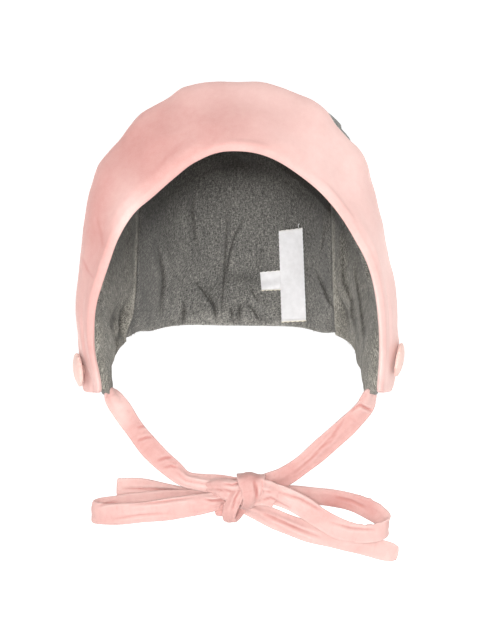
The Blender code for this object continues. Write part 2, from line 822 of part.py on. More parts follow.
def main():
    for old in list(bpy.data.objects):
        bpy.data.objects.remove(old, do_unlink=True)
    bonnet = bpy.data.collections.new("baby_bonnet")
    cutters = bpy.data.collections.new("cutters")
    bpy.context.scene.collection.children.link(bonnet)
    bpy.context.scene.collection.children.link(cutters)

    left, crown, right = panel_edges()
    panels = (
        ("side_panel_left", left, SIDE_COLUMNS, 1, SHELL_WALL, GREY),
        ("crown_panel", crown, CROWN_COLUMNS, 1, SHELL_WALL, GREY),
        ("side_panel_right", right, SIDE_COLUMNS, 1, SHELL_WALL, GREY),
        ("lining_side_left", left, SIDE_COLUMNS, -1, LINING_WALL, LINING_GREY),
        ("lining_crown", crown, CROWN_COLUMNS, -1, LINING_WALL, LINING_GREY),
        ("lining_side_right", right, SIDE_COLUMNS, -1, LINING_WALL, LINING_GREY),
    )
    for name, edges, columns, side, wall, colour in panels:
        finish = material(name, colour, WOOL_ROUGHNESS, WOOL_SHEEN)
        hood_panel(name, edges, columns, side, wall, finish, bonnet)

    make_band(material("front_band", PINK, VELVET_ROUGHNESS, VELVET_SHEEN), bonnet)
    for name, place in (("button_left", BUTTON_LEFT_PLACE), ("button_right", BUTTON_RIGHT_PLACE)):
        make_button(name, place, material(name, PINK, VELVET_ROUGHNESS, VELVET_SHEEN), bonnet)

    cutter = make_knot(material("bow_knot", PINK, VELVET_ROUGHNESS, VELVET_SHEEN), bonnet, cutters)
    sideways = Vector((0, 1, 0))
    upright = Vector((0, 0, 1))
    straps = (
        ("tie_left", TIE_LEFT, tie_place(-1), sideways, 2),
        ("tie_right", TIE_RIGHT, tie_place(1), sideways, 2),
        ("bow_loop_left", LOOP_LEFT, bow_place(-1, LOOP_REACH), upright, 2),
        ("bow_loop_right", LOOP_RIGHT, bow_place(1, LOOP_REACH), upright, 2),
        ("bow_tail_left", TAIL_LEFT, bow_place(-1, TAIL_REACH), upright, 3),
        ("bow_tail_right", TAIL_RIGHT, bow_place(1, TAIL_REACH), upright, 2),
    )
    for name, rows, place, reference, steps in straps:
        finish = material(name, PALE_PINK, VELVET_ROUGHNESS, VELVET_SHEEN)
        cut_at_knot(make_strap(name, rows, place, reference, steps, finish, bonnet), cutter)

    bpy.context.view_layer.update()
    surface = BVHTree.FromObject(bpy.data.objects["lining_crown"],
                                 bpy.context.evaluated_depsgraph_get())

    def lying(up):
        return LABEL_GAP

    def over_the_other(up):
        return LABEL_GAP + (LABEL_WALL + LABEL_GAP) * min(up / LABEL_FOLD, 1.0)

    lay_label("woven_label", LABEL_ACROSS, NAPE_RISE + LABEL_RISE, LABEL_WIDTH, LABEL_HEIGHT,
              LABEL_LEAN, over_the_other, surface,
              material("woven_label", LABEL_WHITE, LABEL_ROUGHNESS, LABEL_SHEEN), bonnet)
    tuck_edge = LABEL_ACROSS - LABEL_WIDTH / 2 + SIZE_LABEL_TUCK
    lay_label("size_label", tuck_edge - SIZE_LABEL_WIDTH / 2, NAPE_RISE + SIZE_LABEL_RISE,
              SIZE_LABEL_WIDTH, SIZE_LABEL_HEIGHT, 0.0, lying, surface,
              material("size_label", LABEL_WHITE, LABEL_ROUGHNESS, LABEL_SHEEN), bonnet)


main()
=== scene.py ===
# Looks of the baby bonnet: velvet band, buttons, ties and bow, wool hood and lining, labels.
# Metres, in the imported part's frame. The hood's own shape functions are repeated here at a
# finer mesh, and the cloth is then sagged, creased and given its weave or pile.

import math

import bpy
import bmesh
import numpy as np
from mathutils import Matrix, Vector, noise
from mathutils.bvhtree import BVHTree


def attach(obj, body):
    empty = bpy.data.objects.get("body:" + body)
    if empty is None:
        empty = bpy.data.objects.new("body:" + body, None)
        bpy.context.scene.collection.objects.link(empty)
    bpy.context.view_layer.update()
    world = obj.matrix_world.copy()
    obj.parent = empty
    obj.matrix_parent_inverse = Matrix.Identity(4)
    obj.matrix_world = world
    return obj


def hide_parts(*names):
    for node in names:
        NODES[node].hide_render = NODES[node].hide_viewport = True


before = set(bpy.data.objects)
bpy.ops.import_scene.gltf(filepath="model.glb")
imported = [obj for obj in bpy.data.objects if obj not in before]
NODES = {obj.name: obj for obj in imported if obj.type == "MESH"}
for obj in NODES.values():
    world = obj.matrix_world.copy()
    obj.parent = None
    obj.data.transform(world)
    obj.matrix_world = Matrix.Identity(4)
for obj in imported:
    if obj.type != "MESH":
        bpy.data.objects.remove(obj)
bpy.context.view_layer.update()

# The hood's shape, repeated from the part's source
CORNER_HALF_WIDTH = 0.068
TIP_HALF_WIDTH = 0.064
TIP_LENGTH = 0.016
TIP_DROP = 0.0025
TIP_LEAN = 0.001
EDGE_HALF_WIDTH = 0.071
EDGE_HEIGHT = 0.1203
HOOD_HALF_WIDTH = 0.075
HOOD_HEIGHT = 0.1465
HOOD_DEPTH = 0.138
HOOD_LEAN = 0.0038
NECK_HALF_WIDTH = 0.0612
NECK_LEAN = 0.0025
NAPE_DEPTH = 0.124
NAPE_RISE = 0.0148
NECK_BOW = 0.006
SEAM_LEFT = (0.0505, 0.0615)
SEAM_RIGHT = (0.047, 0.0545)
SEAM_CURVE = 0.7
SEAT_SHARE = 0.30
SHELL_WALL = 0.0015
LINING_WALL = 0.001
CLOTH_GAP = 0.0003
SEAM_GAP = 0.0004
BAND_WALL = 0.0026
BAND_GAP = 0.0006
BAND_TOP_DEPTH = 0.036
BAND_END_DEPTH = 0.0145
BAND_NOSE = 0.0026
BAND_END_DROP = 0.0014
HEM_LIFT = 0.0085
EDGE_WAVE = 0.006
EDGE_FADE = 0.3
HEM_ROUNDING = 0.7
HEM_CURL = 1.6
BAND_END_SHARE = 0.05
ARCH_BIAS = 0.3
WIDTH_EASE = 0.4
EDGE_FULLNESS = 2.4
NECK_FULLNESS = 3.4
OUTSIDE = CLOTH_GAP / 2 + SHELL_WALL + BAND_GAP
ALONG_STEP = 0.002
NORMAL_STEP = 0.004
HALVINGS = 30
HEM_LIMIT = 0.96
SEAM_LIMIT = 0.02
MILLIMETRE = 0.001

ARCHES = (
    # around, back, up, width, fullness, lean
    (0.09, 0.13, 0.895, 0.955, 2.45, 1.0), (0.2, 0.304, 0.995, 0.995, 2.7, 1.0),
    (0.32, 0.507, 0.987, 1.0, 2.8, 0.3), (0.455, 0.725, 0.912, 0.97, 2.7, 0.1),
    (0.6, 0.906, 0.735, 0.935, 2.6, 0.2), (0.745, 1.0, 0.51, 0.895, 2.6, 0.4),
    (0.87, 0.993, 0.306, 0.865, 2.8, 0.5), (0.955, 0.942, 0.17, 0.83, 3.15, 0.6),
)

EDGE_SHAPE = (
    # along, swell
    (0.0, 0.2), (0.05, 0.41), (0.1, 0.19), (0.2, -0.27), (0.25, -0.33), (0.3, -0.53), (0.35, -0.98),
    (0.4, -0.93), (0.45, -0.42), (0.5, 0.08), (0.6, -0.37), (0.65, -0.31), (0.75, 0.15), (0.8, 0.5),
    (0.85, 0.59), (0.9, 0.51), (0.95, 0.33), (1.0, 0.04),
)

HEM_SHAPE = (
    # along, lift
    (0.0, 1.15), (0.02, 1.05), (0.05, 0.67), (0.1, 0.0), (0.15, 0.03), (0.2, 0.27), (0.25, 0.44),
    (0.275, 0.56), (0.3, 0.4), (0.325, 0.29), (0.35, 0.4), (0.375, 0.5), (0.4, 0.38), (0.425, 0.35),
    (0.45, 0.58), (0.5, 0.5), (0.525, 0.63), (0.55, 0.52), (0.575, 0.52), (0.6, 0.65),
    (0.625, 0.61), (0.65, 0.34), (0.675, 0.37), (0.7, 0.6), (0.725, 0.56), (0.75, 0.32),
    (0.8, 0.13), (0.85, 0.0), (0.9, 0.27), (0.95, 0.53), (0.98, 0.98), (1.0, 1.05),
)


def column(rows, index, at):
    """One column of a table read smoothly between its rows."""
    keys = np.array([row[0] for row in rows], float)
    values = np.array([row[index] for row in rows], float)
    at = np.asarray(at, float)
    last = len(keys) - 1
    before = np.maximum(np.arange(last + 1) - 1, 0)
    after = np.minimum(np.arange(last + 1) + 1, last)
    slopes = (values[after] - values[before]) / (keys[after] - keys[before])
    low = np.clip(np.searchsorted(keys, at, side="right") - 1, 0, last - 1)
    span = keys[low + 1] - keys[low]
    t = (at - keys[low]) / span
    t2, t3 = t * t, t * t * t
    return ((2 * t3 - 3 * t2 + 1) * values[low] + (t3 - 2 * t2 + t) * span * slopes[low]
            + (3 * t2 - 2 * t3) * values[low + 1] + (t3 - t2) * span * slopes[low + 1])


def smooth(low, high, value):
    t = np.clip((value - low) / (high - low), 0.0, 1.0)
    return t * t * (3 - 2 * t)


def unit(vectors):
    """The same directions at length one."""
    return vectors / np.linalg.norm(vectors, axis=-1, keepdims=True)


def arrays(*values):
    """Numbers or arrays as float arrays of one shape."""
    return np.broadcast_arrays(*(np.asarray(value, float) for value in values))


def from_ends(share):
    """How far a share from 0 to 1 lies from the nearer of its ends."""
    return np.minimum(share, 1 - share)


def run_along(points):
    """The length of a line of points up to each of them."""
    return np.concatenate([[0], np.cumsum(np.linalg.norm(np.diff(points, axis=0), axis=-1))])


def turning_place(low, high, before):
    """Where a test stops holding between two bounds, found by halving."""
    for _ in range(HALVINGS):
        middle = (low + high) / 2
        early = before(middle)
        low, high = np.where(early, middle, low), np.where(early, high, middle)
    return (low + high) / 2


ARCH_ROWS = [(0.0, 0.0, EDGE_HEIGHT, EDGE_HALF_WIDTH, EDGE_FULLNESS, HOOD_LEAN)]
for around_, back_, up_, width_, fullness_, lean_ in ARCHES:
    ARCH_ROWS.append((around_, back_ * HOOD_DEPTH, up_ * HOOD_HEIGHT, width_ * HOOD_HALF_WIDTH,
                      fullness_, lean_ * HOOD_LEAN))
ARCH_ROWS.append((1.0, NAPE_DEPTH, NAPE_RISE, NECK_HALF_WIDTH, NECK_FULLNESS, NECK_LEAN))


def turn_of(along):
    return math.pi * (along - ARCH_BIAS * np.sin(2 * math.pi * along) / (2 * math.pi))


def arch(along, around):
    """Points of the plain hood in the jaw-corner frame."""
    along, around = arrays(along, around)
    back, up, half_width, fullness, lean = (column(ARCH_ROWS, i, around) for i in range(1, 6))
    turn = turn_of(along)
    lift = np.maximum(np.sin(turn), 0.0) ** (2 / fullness)
    spread = np.abs(np.cos(turn)) ** (2 / fullness)
    side = np.where(along < 0.5, -1.0, 1.0)
    base_width = CORNER_HALF_WIDTH + (TIP_HALF_WIDTH - CORNER_HALF_WIDTH) * around
    ease = smooth(0.0, WIDTH_EASE, lift)
    width = base_width + (half_width - base_width) * ease
    base_back = TIP_LENGTH * around
    base_up = -TIP_DROP * around
    bow = NECK_BOW * around ** 4 * 4 * lift * (1 - lift)
    lean = TIP_LEAN * around * (1 - ease) + lean * ease
    return np.stack([side * width * spread - lean, base_back + (back - base_back) * lift,
                     base_up + (up - base_up) * lift + bow], axis=-1)


def hood(along, around):
    """Points of the hood with the shape of its face opening."""
    along, around = arrays(along, around)
    fade = np.maximum(1 - around / EDGE_FADE, 0.0) ** 2
    low, high = np.maximum(along - ALONG_STEP, 0.0), np.minimum(along + ALONG_STEP, 1.0)
    zero = np.zeros_like(along)
    tangent = arch(high, zero) - arch(low, zero)
    outward = unit(np.stack([-tangent[..., 2], zero, tangent[..., 0]], axis=-1))
    swell = EDGE_WAVE * column(EDGE_SHAPE, 1, along) * fade
    return arch(along, around) + outward * swell[..., None]


def hood_normal(along, around):
    along, around = arrays(along, around)
    left, right = np.maximum(along - NORMAL_STEP, 0.0), np.minimum(along + NORMAL_STEP, 1.0)
    front, rear = np.maximum(around - NORMAL_STEP, 0.0), np.minimum(around + NORMAL_STEP, 1.0)
    return unit(np.cross(hood(right, around) - hood(left, around),
                         hood(along, rear) - hood(along, front)))


SEAT = hood(0.5, SEAT_SHARE) - np.array([0.0, 0.0, CLOTH_GAP / 2 + LINING_WALL])
SEAT[0] = 0.0


def hem_around(along):
    """How far round the hood the band's hem lies."""
    along = np.asarray(along, float)
    height = np.maximum(np.sin(turn_of(along)), 0.0) ** HEM_ROUNDING
    depth = BAND_END_DEPTH + (BAND_TOP_DEPTH - BAND_END_DEPTH) * height
    return turning_place(np.zeros_like(along), np.full_like(along, HEM_LIMIT),
                         lambda around: arch(along, around)[..., 1] < depth)


def flap(along, reach, rise):
    """Points in the band's flap."""
    along, reach, rise = arrays(along, reach, rise)
    around = reach * hem_around(along)
    lift = HEM_LIFT * column(HEM_SHAPE, 1, along) * reach ** HEM_CURL
    outward = hood_normal(along, around)
    outward[..., 2] *= np.minimum(from_ends(along), BAND_END_SHARE) / BAND_END_SHARE
    return hood(along, around) + unit(outward) * (OUTSIDE + lift + rise * BAND_WALL)[..., None]


def seam_along(around, right):
    """Where a seam between side and crown lies."""
    at_edge, at_neck = SEAM_RIGHT if right else SEAM_LEFT
    around = np.asarray(around, float)
    spread = at_edge + (at_neck - at_edge) * around ** SEAM_CURVE
    start = 1 - SEAM_LIMIT if right else SEAM_LIMIT
    return turning_place(np.full_like(around, start), np.full_like(around, 0.5),
                         lambda along: np.abs(arch(along, around)[..., 0]) > spread)


# The camera, at the photograph's viewing angle
VIEW_WIDTH, VIEW_HEIGHT = 480, 640
VIEW_ELEVATION = math.radians(8)
VIEW_DISTANCE = 1.15
VIEW_TARGET = np.array([0.0, 0.0, 0.035])
VIEW_FOCUS = 2334.0
VIEW_SHIFT = -0.5
VIEW_BACK = np.array([0.0, -math.cos(VIEW_ELEVATION), math.sin(VIEW_ELEVATION)])
VIEW_ACROSS = np.array([1.0, 0.0, 0.0])
VIEW_UP = np.cross(VIEW_BACK, VIEW_ACROSS)
EYE = VIEW_TARGET + VIEW_BACK * VIEW_DISTANCE
SENSOR = 36.0


def in_view(points):
    """Where jaw-corner frame points show in the photograph's frame: columns and rows."""
    offset = points - EYE
    depth = -(offset @ VIEW_BACK)
    x = VIEW_WIDTH / 2 - VIEW_SHIFT + VIEW_FOCUS * (offset @ VIEW_ACROSS) / depth
    y = VIEW_HEIGHT / 2 - VIEW_FOCUS * (offset @ VIEW_UP) / depth
    return x, y


def from_view(x, y, behind):
    """The jaw-corner frame point that shows at a column and row, at a given distance back."""
    x, y = np.asarray(x, float), np.asarray(y, float)
    ray = (np.multiply.outer((x - VIEW_WIDTH / 2 + VIEW_SHIFT) / VIEW_FOCUS, VIEW_ACROSS)
           + np.multiply.outer((VIEW_HEIGHT / 2 - y) / VIEW_FOCUS, VIEW_UP) - VIEW_BACK)
    t = (np.asarray(behind, float) - EYE[1]) / ray[..., 1]
    return EYE + ray * t[..., None]


def new_object(name, data):
    """An object of the scene that shows the data."""
    made = bpy.data.objects.new(name, data)
    bpy.context.scene.collection.objects.link(made)
    return made


def aim(thing, spot, direction):
    """Put a camera or light at a spot and turn it to look in a direction."""
    thing.location = spot
    thing.rotation_mode = "QUATERNION"
    thing.rotation_quaternion = direction.to_track_quat("-Z", "Y")


def make_camera():
    data = bpy.data.cameras.new("camera")
    data.sensor_width = SENSOR
    data.lens = VIEW_FOCUS / VIEW_HEIGHT * SENSOR
    data.shift_x = VIEW_SHIFT / VIEW_HEIGHT
    data.clip_start, data.clip_end = 0.05, 2000.0
    camera = new_object("camera", data)
    aim(camera, Vector(EYE - SEAT), Vector(-VIEW_BACK))
    bpy.context.scene.camera = camera


# Meshes: a shape is its points, faces, uv in metres of cloth, and named marks for each point
def grid_faces(rows, columns, closed=False, start=0):
    """Quads of a grid of points; a closed grid joins its last column to its first."""
    row, col = np.meshgrid(np.arange(rows - 1), np.arange(columns if closed else columns - 1),
                           indexing="ij")
    below, beside = row + 1, (col + 1) % columns
    quads = np.stack([row * columns + col, row * columns + beside,
                      below * columns + beside, below * columns + col], axis=-1)
    return quads.reshape(-1, 4) + start


def grid_border(rows, columns):
    """The indices round a grid of points, in order."""
    index = np.arange(rows * columns).reshape(rows, columns)
    return np.concatenate([index[0, :-1], index[:-1, -1], index[-1, :0:-1], index[:0:-1, 0]])


def make_mesh(name, points, faces, uv, finish, marks):
    """An object from jaw-corner frame points."""
    mesh = bpy.data.meshes.new(name)
    mesh.from_pydata((np.asarray(points) - SEAT).tolist(), [], [tuple(face) for face in faces])
    corners = np.empty(len(mesh.loops), np.int32)
    mesh.loops.foreach_get("vertex_index", corners)
    layer = mesh.uv_layers.new(name="cloth")
    layer.data.foreach_set("uv", np.asarray(uv, np.float32)[corners].ravel())
    for label, values in marks:
        mark = mesh.attributes.new(label, "FLOAT", "POINT")
        mark.data.foreach_set("value", np.asarray(values, np.float32).ravel())
    mesh.update()
    shape = bmesh.new()
    shape.from_mesh(mesh)
    bmesh.ops.recalc_face_normals(shape, faces=shape.faces)
    shape.to_mesh(mesh)
    shape.free()
    mesh.shade_smooth()
    mesh.materials.append(finish)
    return new_object(name, mesh)


def cloth_uv(points):
    """Arc lengths along both ways of a grid of points."""
    across = np.zeros(points.shape[:2])
    down = np.zeros(points.shape[:2])
    across[:, 1:] = np.cumsum(np.linalg.norm(np.diff(points, axis=1), axis=-1), axis=1)
    down[1:, :] = np.cumsum(np.linalg.norm(np.diff(points, axis=0), axis=-1), axis=0)
    middle = across[:, across.shape[1] // 2][:, None]
    return np.stack([across - middle, down], axis=-1)


def sheet(front, rear, marks):
    """The shape of a closed panel between two grids of points of the same size."""
    rows, columns = front.shape[:2]
    count = rows * columns
    border = grid_border(rows, columns)
    after = np.roll(border, -1)
    faces = np.concatenate([
        grid_faces(rows, columns), grid_faces(rows, columns, start=count)[:, ::-1],
        np.stack([after, border, border + count, after + count], axis=-1)])
    points = np.concatenate([front.reshape(-1, 3), rear.reshape(-1, 3)])
    uv = np.tile(cloth_uv(front).reshape(-1, 2), (2, 1))
    return points, faces, uv, [(label, np.tile(values.ravel(), 2)) for label, values in marks]


def skirted(front, rear, rear_step, marks):
    """The shape of a panel with a fine face, an edge turned back, and a coarser rear face."""
    rows, columns = front.shape[:2]
    count = rows * columns
    border = grid_border(rows, columns)
    after = np.roll(border, -1)
    turned = np.arange(len(border)) + count
    back = rear[::rear_step, ::rear_step]

    def spread_out(face, edge, behind, *width):
        return np.concatenate([face.reshape(-1, *width), edge.reshape(-1, *width)[border],
                               behind[::rear_step, ::rear_step].reshape(-1, *width)])

    faces = np.concatenate([
        grid_faces(rows, columns), np.stack([after, border, turned, np.roll(turned, -1)], axis=-1),
        grid_faces(*back.shape[:2], start=count + len(border))[:, ::-1]])
    uv = cloth_uv(front)
    return (spread_out(front, rear, rear, 3), faces, spread_out(uv, uv, uv, 2),
            [(label, spread_out(values, values, values)) for label, values in marks])


def tube(rings, uv_width, label, values):
    """The shape of a closed tube; uv runs round and along."""
    rows, columns = rings.shape[:2]
    around = np.linspace(0, uv_width, columns, endpoint=False)
    lengths = run_along(rings.mean(axis=1))
    uv = np.stack(np.broadcast_arrays(around[None, :], lengths[:, None]), axis=-1).reshape(-1, 2)
    centres = np.stack([rings[0].mean(axis=0), rings[-1].mean(axis=0)])
    faces = [tuple(face) for face in grid_faces(rows, columns, closed=True)]
    count, base = rows * columns, (rows - 1) * columns
    for at in range(columns):
        after = (at + 1) % columns
        faces += [(count, after, at), (count + 1, base + at, base + after)]
    values = values.ravel()
    return (np.concatenate([rings.reshape(-1, 3), centres]), faces,
            np.concatenate([uv, uv[[0, -1]]]), [(label, np.concatenate([values, values[[0, -1]]]))])


def joined(name, shapes, finish):
    """One object from several closed shapes that carry the same marks."""
    faces, start = [], 0
    for shape in shapes:
        faces += [tuple(int(corner) + start for corner in face) for face in shape[1]]
        start += len(shape[0])
    marks = [(label, np.concatenate([dict(shape[3])[label] for shape in shapes]))
             for label, _ in shapes[0][3]]
    return make_mesh(name, np.concatenate([shape[0] for shape in shapes]), faces,
                     np.concatenate([shape[2] for shape in shapes]), finish, marks)


def noise_at(points, scale, seed=0.0):
    """Smooth noise at points, from about -1 to 1."""
    flat = np.asarray(points).reshape(-1, 3) * scale
    values = [noise.noise(Vector(p) + Vector((seed, seed * 0.7, -seed))) for p in flat]
    return np.array(values).reshape(np.asarray(points).shape[:-1])


def from_line(x, y, line):
    """Signed distance in view pixels from a drawn line, and the nearest point's share of it."""
    best = np.full(x.shape, 1e9)
    signed = np.zeros(x.shape)
    where = np.zeros(x.shape)
    total = sum(math.dist(a, b) for a, b in zip(line, line[1:]))
    run = 0.0
    for (x0, y0), (x1, y1) in zip(line, line[1:]):
        dx, dy = x1 - x0, y1 - y0
        length = math.hypot(dx, dy)
        t = np.clip(((x - x0) * dx + (y - y0) * dy) / length ** 2, 0, 1)
        ox, oy = x - (x0 + dx * t), y - (y0 + dy * t)
        distance = np.hypot(ox, oy)
        side = np.sign(dx * oy - dy * ox)
        near = distance < best
        best = np.where(near, distance, best)
        signed = np.where(near, side * distance, signed)
        where = np.where(near, (run + t * length) / total, where)
        run += length
    return signed, where


def place(obj, *nodes, slot=None):
    """Ride the one body and stand for the CAD nodes, which it hides; slot is not used."""
    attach(obj, "root")
    if nodes:
        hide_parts(*nodes)


# Materials
class Nodes:
    """A short way to wire a material's nodes."""

    def __init__(self, name):
        self.material = bpy.data.materials.new(name)
        self.material.use_nodes = True
        self.tree = self.material.node_tree

    def plug(self, node, inputs):
        """Link each socket, and set each plain value, on a node's inputs."""
        for key, value in inputs.items():
            if isinstance(value, bpy.types.NodeSocket):
                self.tree.links.new(value, node.inputs[key])
            else:
                node.inputs[key].default_value = value

    def add(self, kind, inputs=None, **settings):
        node = self.tree.nodes.new("ShaderNode" + kind)
        for key, value in settings.items():
            setattr(node, key, value)
        self.plug(node, inputs or {})
        return node

    def ramp(self, factor, stops):
        node = self.add("ValToRGB", {"Fac": factor})
        while len(node.color_ramp.elements) < len(stops):
            node.color_ramp.elements.new(0.5)
        for element, (position, colour) in zip(node.color_ramp.elements, stops):
            element.position = position
            element.color = colour
        return node.outputs["Color"]

    def object_at(self):
        return self.add("TexCoord").outputs["Object"]

    def cloth_at(self):
        return self.add("UVMap", uv_map="cloth").outputs["UV"]

    def mark(self, name):
        return self.add("Attribute", attribute_name=name).outputs["Fac"]

    def noise(self, vector, scale, detail, rough):
        return self.add("TexNoise", {"Vector": vector, "Scale": scale, "Detail": detail,
                                     "Roughness": rough}).outputs["Fac"]

    def math(self, operation, a, b=0.0, c=0.0, clamp=False):
        return self.add("Math", {0: a, 1: b, 2: c}, operation=operation, use_clamp=clamp).outputs[0]

    def ribs(self, along, pitch):
        """Waves of a pitch given in radians for each metre."""
        return self.math("SINE", self.math("MULTIPLY", along, pitch))

    def rise(self, value, low, high, to_low=0.0, to_high=1.0, **settings):
        return self.add("MapRange", {"Value": value, "From Min": low, "From Max": high,
                                     "To Min": to_low, "To Max": to_high},
                        **settings).outputs["Result"]

    def mix(self, factor, a, b):
        return self.add("Mix", {0: factor, 6: a, 7: b}, data_type="RGBA").outputs[2]

    def finish(self, inputs, height=None, strength=0.0, distance=0.0):
        """Fill in the shader, with a bump where a height is given; gives the material."""
        shader = self.tree.nodes["Principled BSDF"]
        self.plug(shader, inputs)
        if height is not None:
            bump = self.add("Bump", {"Height": height, "Strength": strength, "Distance": distance})
            self.plug(shader, {"Normal": bump.outputs["Normal"]})
        return self.material


def srgb(red, green, blue):
    return tuple(((v / 255 + 0.055) / 1.055) ** 2.4 for v in (red, green, blue)) + (1.0,)


def velvet(name, deep, pale, patch):
    """Short velvet pile: lighter and darker by its marked nap, which also carries painted light and
    shade, glowing at grazing edges.
    """
    nodes = Nodes(name)
    at = nodes.object_at()
    broad = nodes.noise(at, 28.0, 3.0, 0.55)
    small = nodes.noise(at, 320.0, 3.0, 0.6)
    pile = nodes.noise(at, 2600.0, 2.0, 0.6)
    # This mark holds the pile's own tone together with painted light and shade.
    level = nodes.mark("nap_and_painted_shading")
    for grain, share in ((broad, patch), (small, 0.22), (pile, 0.25)):
        level = nodes.math("MULTIPLY_ADD", nodes.math("SUBTRACT", grain, 0.5), share, level,
                           clamp=grain is pile)
    height = nodes.math("MULTIPLY_ADD", small, 0.5, nodes.math("MULTIPLY", pile, 0.6))
    return nodes.finish({
        "Base Color": nodes.ramp(level, ((0.0, deep), (1.0, pale))), "Roughness": 0.9,
        "Specular IOR Level": 0.15, "Sheen Weight": 0.55, "Sheen Roughness": 0.38,
        "Sheen Tint": (1.0, 0.86, 0.82, 1.0)}, height, 0.35, 0.0004)


def wool(name, dark, middle, light, shadow, scale=1.0):
    """Thin melange wool: short slubs of both threads with light and dark flecks."""
    nodes = Nodes(name)
    uv = nodes.cloth_at()
    split = nodes.add("SeparateXYZ", {"Vector": uv})
    at = nodes.object_at()

    def threads(stretch_x, stretch_y, fineness):
        scaled = nodes.add("Mapping", {"Vector": uv, "Scale": (stretch_x, stretch_y, 1.0)})
        return nodes.noise(scaled.outputs["Vector"], fineness * scale, 1.0, 0.6)

    warp, weft = threads(1.0, 0.22, 2000.0), threads(0.26, 1.0, 1800.0)
    fleck = nodes.noise(at, 2300.0 * scale, 1.0, 0.7)
    slub = threads(1.0, 0.09, 900.0)
    broad = nodes.noise(at, 55.0, 2.0, 0.5)
    mixed = warp
    for grain, share in ((weft, 0.8), (fleck, 0.9), (slub, 0.35), (broad, 0.25)):
        mixed = nodes.math("MULTIPLY_ADD", grain, share, mixed)
    # This mark lightens the threads: real wear, and on the lining also painted highlight and
    # painted light.
    level = nodes.math("MULTIPLY_ADD", nodes.mark("wear_and_painted_light"), 0.7, nodes.rise(mixed, 1.24, 2.06),
                       clamp=True)
    colour = nodes.ramp(level, ((0.0, dark), (0.5, middle), (1.0, light)))
    pitch = 2 * math.pi / 0.00062 * scale
    weave = nodes.math("MULTIPLY", nodes.ribs(split.outputs["X"], pitch),
                       nodes.ribs(split.outputs["Y"], pitch))
    return nodes.finish({
        "Base Color": nodes.mix(nodes.mark("shade"), colour, shadow), "Roughness": 0.95,
        "Specular IOR Level": 0.1, "Sheen Weight": 0.12, "Sheen Roughness": 0.5},
        nodes.math("MULTIPLY_ADD", weave, 0.2, mixed), 0.4, 0.0003)


def satin(name):
    """White woven satin tape, yellower where it is marked as worn."""
    nodes = Nodes(name)
    split = nodes.add("SeparateXYZ", {"Vector": nodes.cloth_at()})
    weave = nodes.math("MULTIPLY", nodes.ribs(split.outputs["X"], 2 * math.pi / 0.0004),
                       nodes.ribs(split.outputs["Y"], 2 * math.pi / 0.00055))
    blotch = nodes.noise(nodes.object_at(), 300.0, 2.0, 0.5)
    tone = nodes.math("MULTIPLY_ADD", blotch, 0.6, nodes.math("MULTIPLY", weave, 0.12))
    colour = nodes.ramp(tone, ((0.1, srgb(226, 225, 226)), (0.6, srgb(246, 245, 247))))
    return nodes.finish({"Base Color": nodes.mix(nodes.mark("wear_and_painted_light"), colour, srgb(228, 214, 170)),
                         "Roughness": 0.42, "Sheen Weight": 0.15}, weave, 0.3, 0.0001)


def plain(name, colour):
    nodes = Nodes(name)
    fleck = nodes.noise(nodes.object_at(), 900.0, 1.0, 0.5)
    darker = tuple(0.7 * value for value in colour[:3]) + (1.0,)
    return nodes.finish({"Base Color": nodes.ramp(fleck, ((0.3, darker), (0.7, colour))),
                         "Roughness": 0.95})


LINING = wool("lining_wool", srgb(55, 55, 53), srgb(111, 110, 107), srgb(176, 173, 165),
              srgb(24, 18, 14), 1.18)
# The side panels' lining: a coarser grain, with middle and light colours set lighter as painted
# light
LINING_SIDE = wool("lining_side_wool", srgb(46, 45, 42), srgb(116, 113, 106), srgb(190, 186, 175),
                   srgb(20, 18, 17), 0.78)
OUTER = wool("outer_wool", srgb(66, 66, 64), srgb(122, 121, 117), srgb(184, 182, 175),
             srgb(24, 23, 22))
BAND = velvet("band_velvet", srgb(194, 140, 134), srgb(231, 203, 197), 0.55)
STRAP = velvet("strap_velvet", srgb(186, 132, 126), srgb(217, 186, 180), 0.3)
BUTTON = velvet("button_velvet", srgb(209, 172, 163), srgb(230, 203, 194), 0.3)
SATIN = satin("label_satin")
FUZZ = plain("fuzz", srgb(132, 129, 122))

# Hood cloth. SEAM_OPEN is how much of the solids' seam gap stays open between the sewn cloths.
SEAM_OPEN = 0.10
LINING_ROWS, OUTER_ROWS, REAR_STEP = 300, 120, 4
LINING_CROWDING = 1.25
HANG_ASIDE = (
    # how far to the right, at what place along, how wide
    (-0.0024, 0.1, 0.07), (0.0022, 0.9, 0.07), (-0.0016, 0.035, 0.03), (-0.0024, 0.168, 0.026),
)
HANG_LEFT_TIP = ((-0.0025, 0.016, 0.025),)
HANG_RIGHT_TIP = ((0.0011, 0.982, 0.012),)
HANG_DOWN = (
    # how far up, at what place along, how wide
    (-0.0024, 0.665, 0.055), (-0.0016, 0.335, 0.045), (0.0007, 0.45, 0.05),
)
TIP_SAG = 0.0022
PUCKER_HEIGHT = 0.00045
LIP_HEIGHT = 0.0036
LINING_SUNK = -0.0006
OUTER_FULLNESS = (
    # column and row of the view, how wide and high, how far out
    (343, 126, 20, 24, 0.0014), (331, 106, 8, 8, 0.0006), (162, 100, 22, 20, -0.0012),
)
SEAM_DIP = 0.0011
SEAM_WIDE = 1.6
PANELS = (
    # part, its lining and outer nodes, their columns, the columns that seams are measured in,
    # the columns that are simulated, and how much painted light lightens the lining
    ("left", "lining_side_left", "side_panel_left", 80, 46, 72, 20, 0.10),
    ("crown", "lining_crown", "crown_panel", 268, 150, 270, 56, 0.0),
    ("right", "lining_side_right", "side_panel_right", 80, 46, 72, 20, 0.08),
)


def seam_edges(around, right):
    """Where a seam lies along the hood, and half of the gap that stays open there."""
    seam = seam_along(around, right)
    low, high = arch(seam - ALONG_STEP, around), arch(seam + ALONG_STEP, around)
    return seam, SEAM_OPEN * SEAM_GAP * ALONG_STEP / np.linalg.norm(high - low, axis=-1)


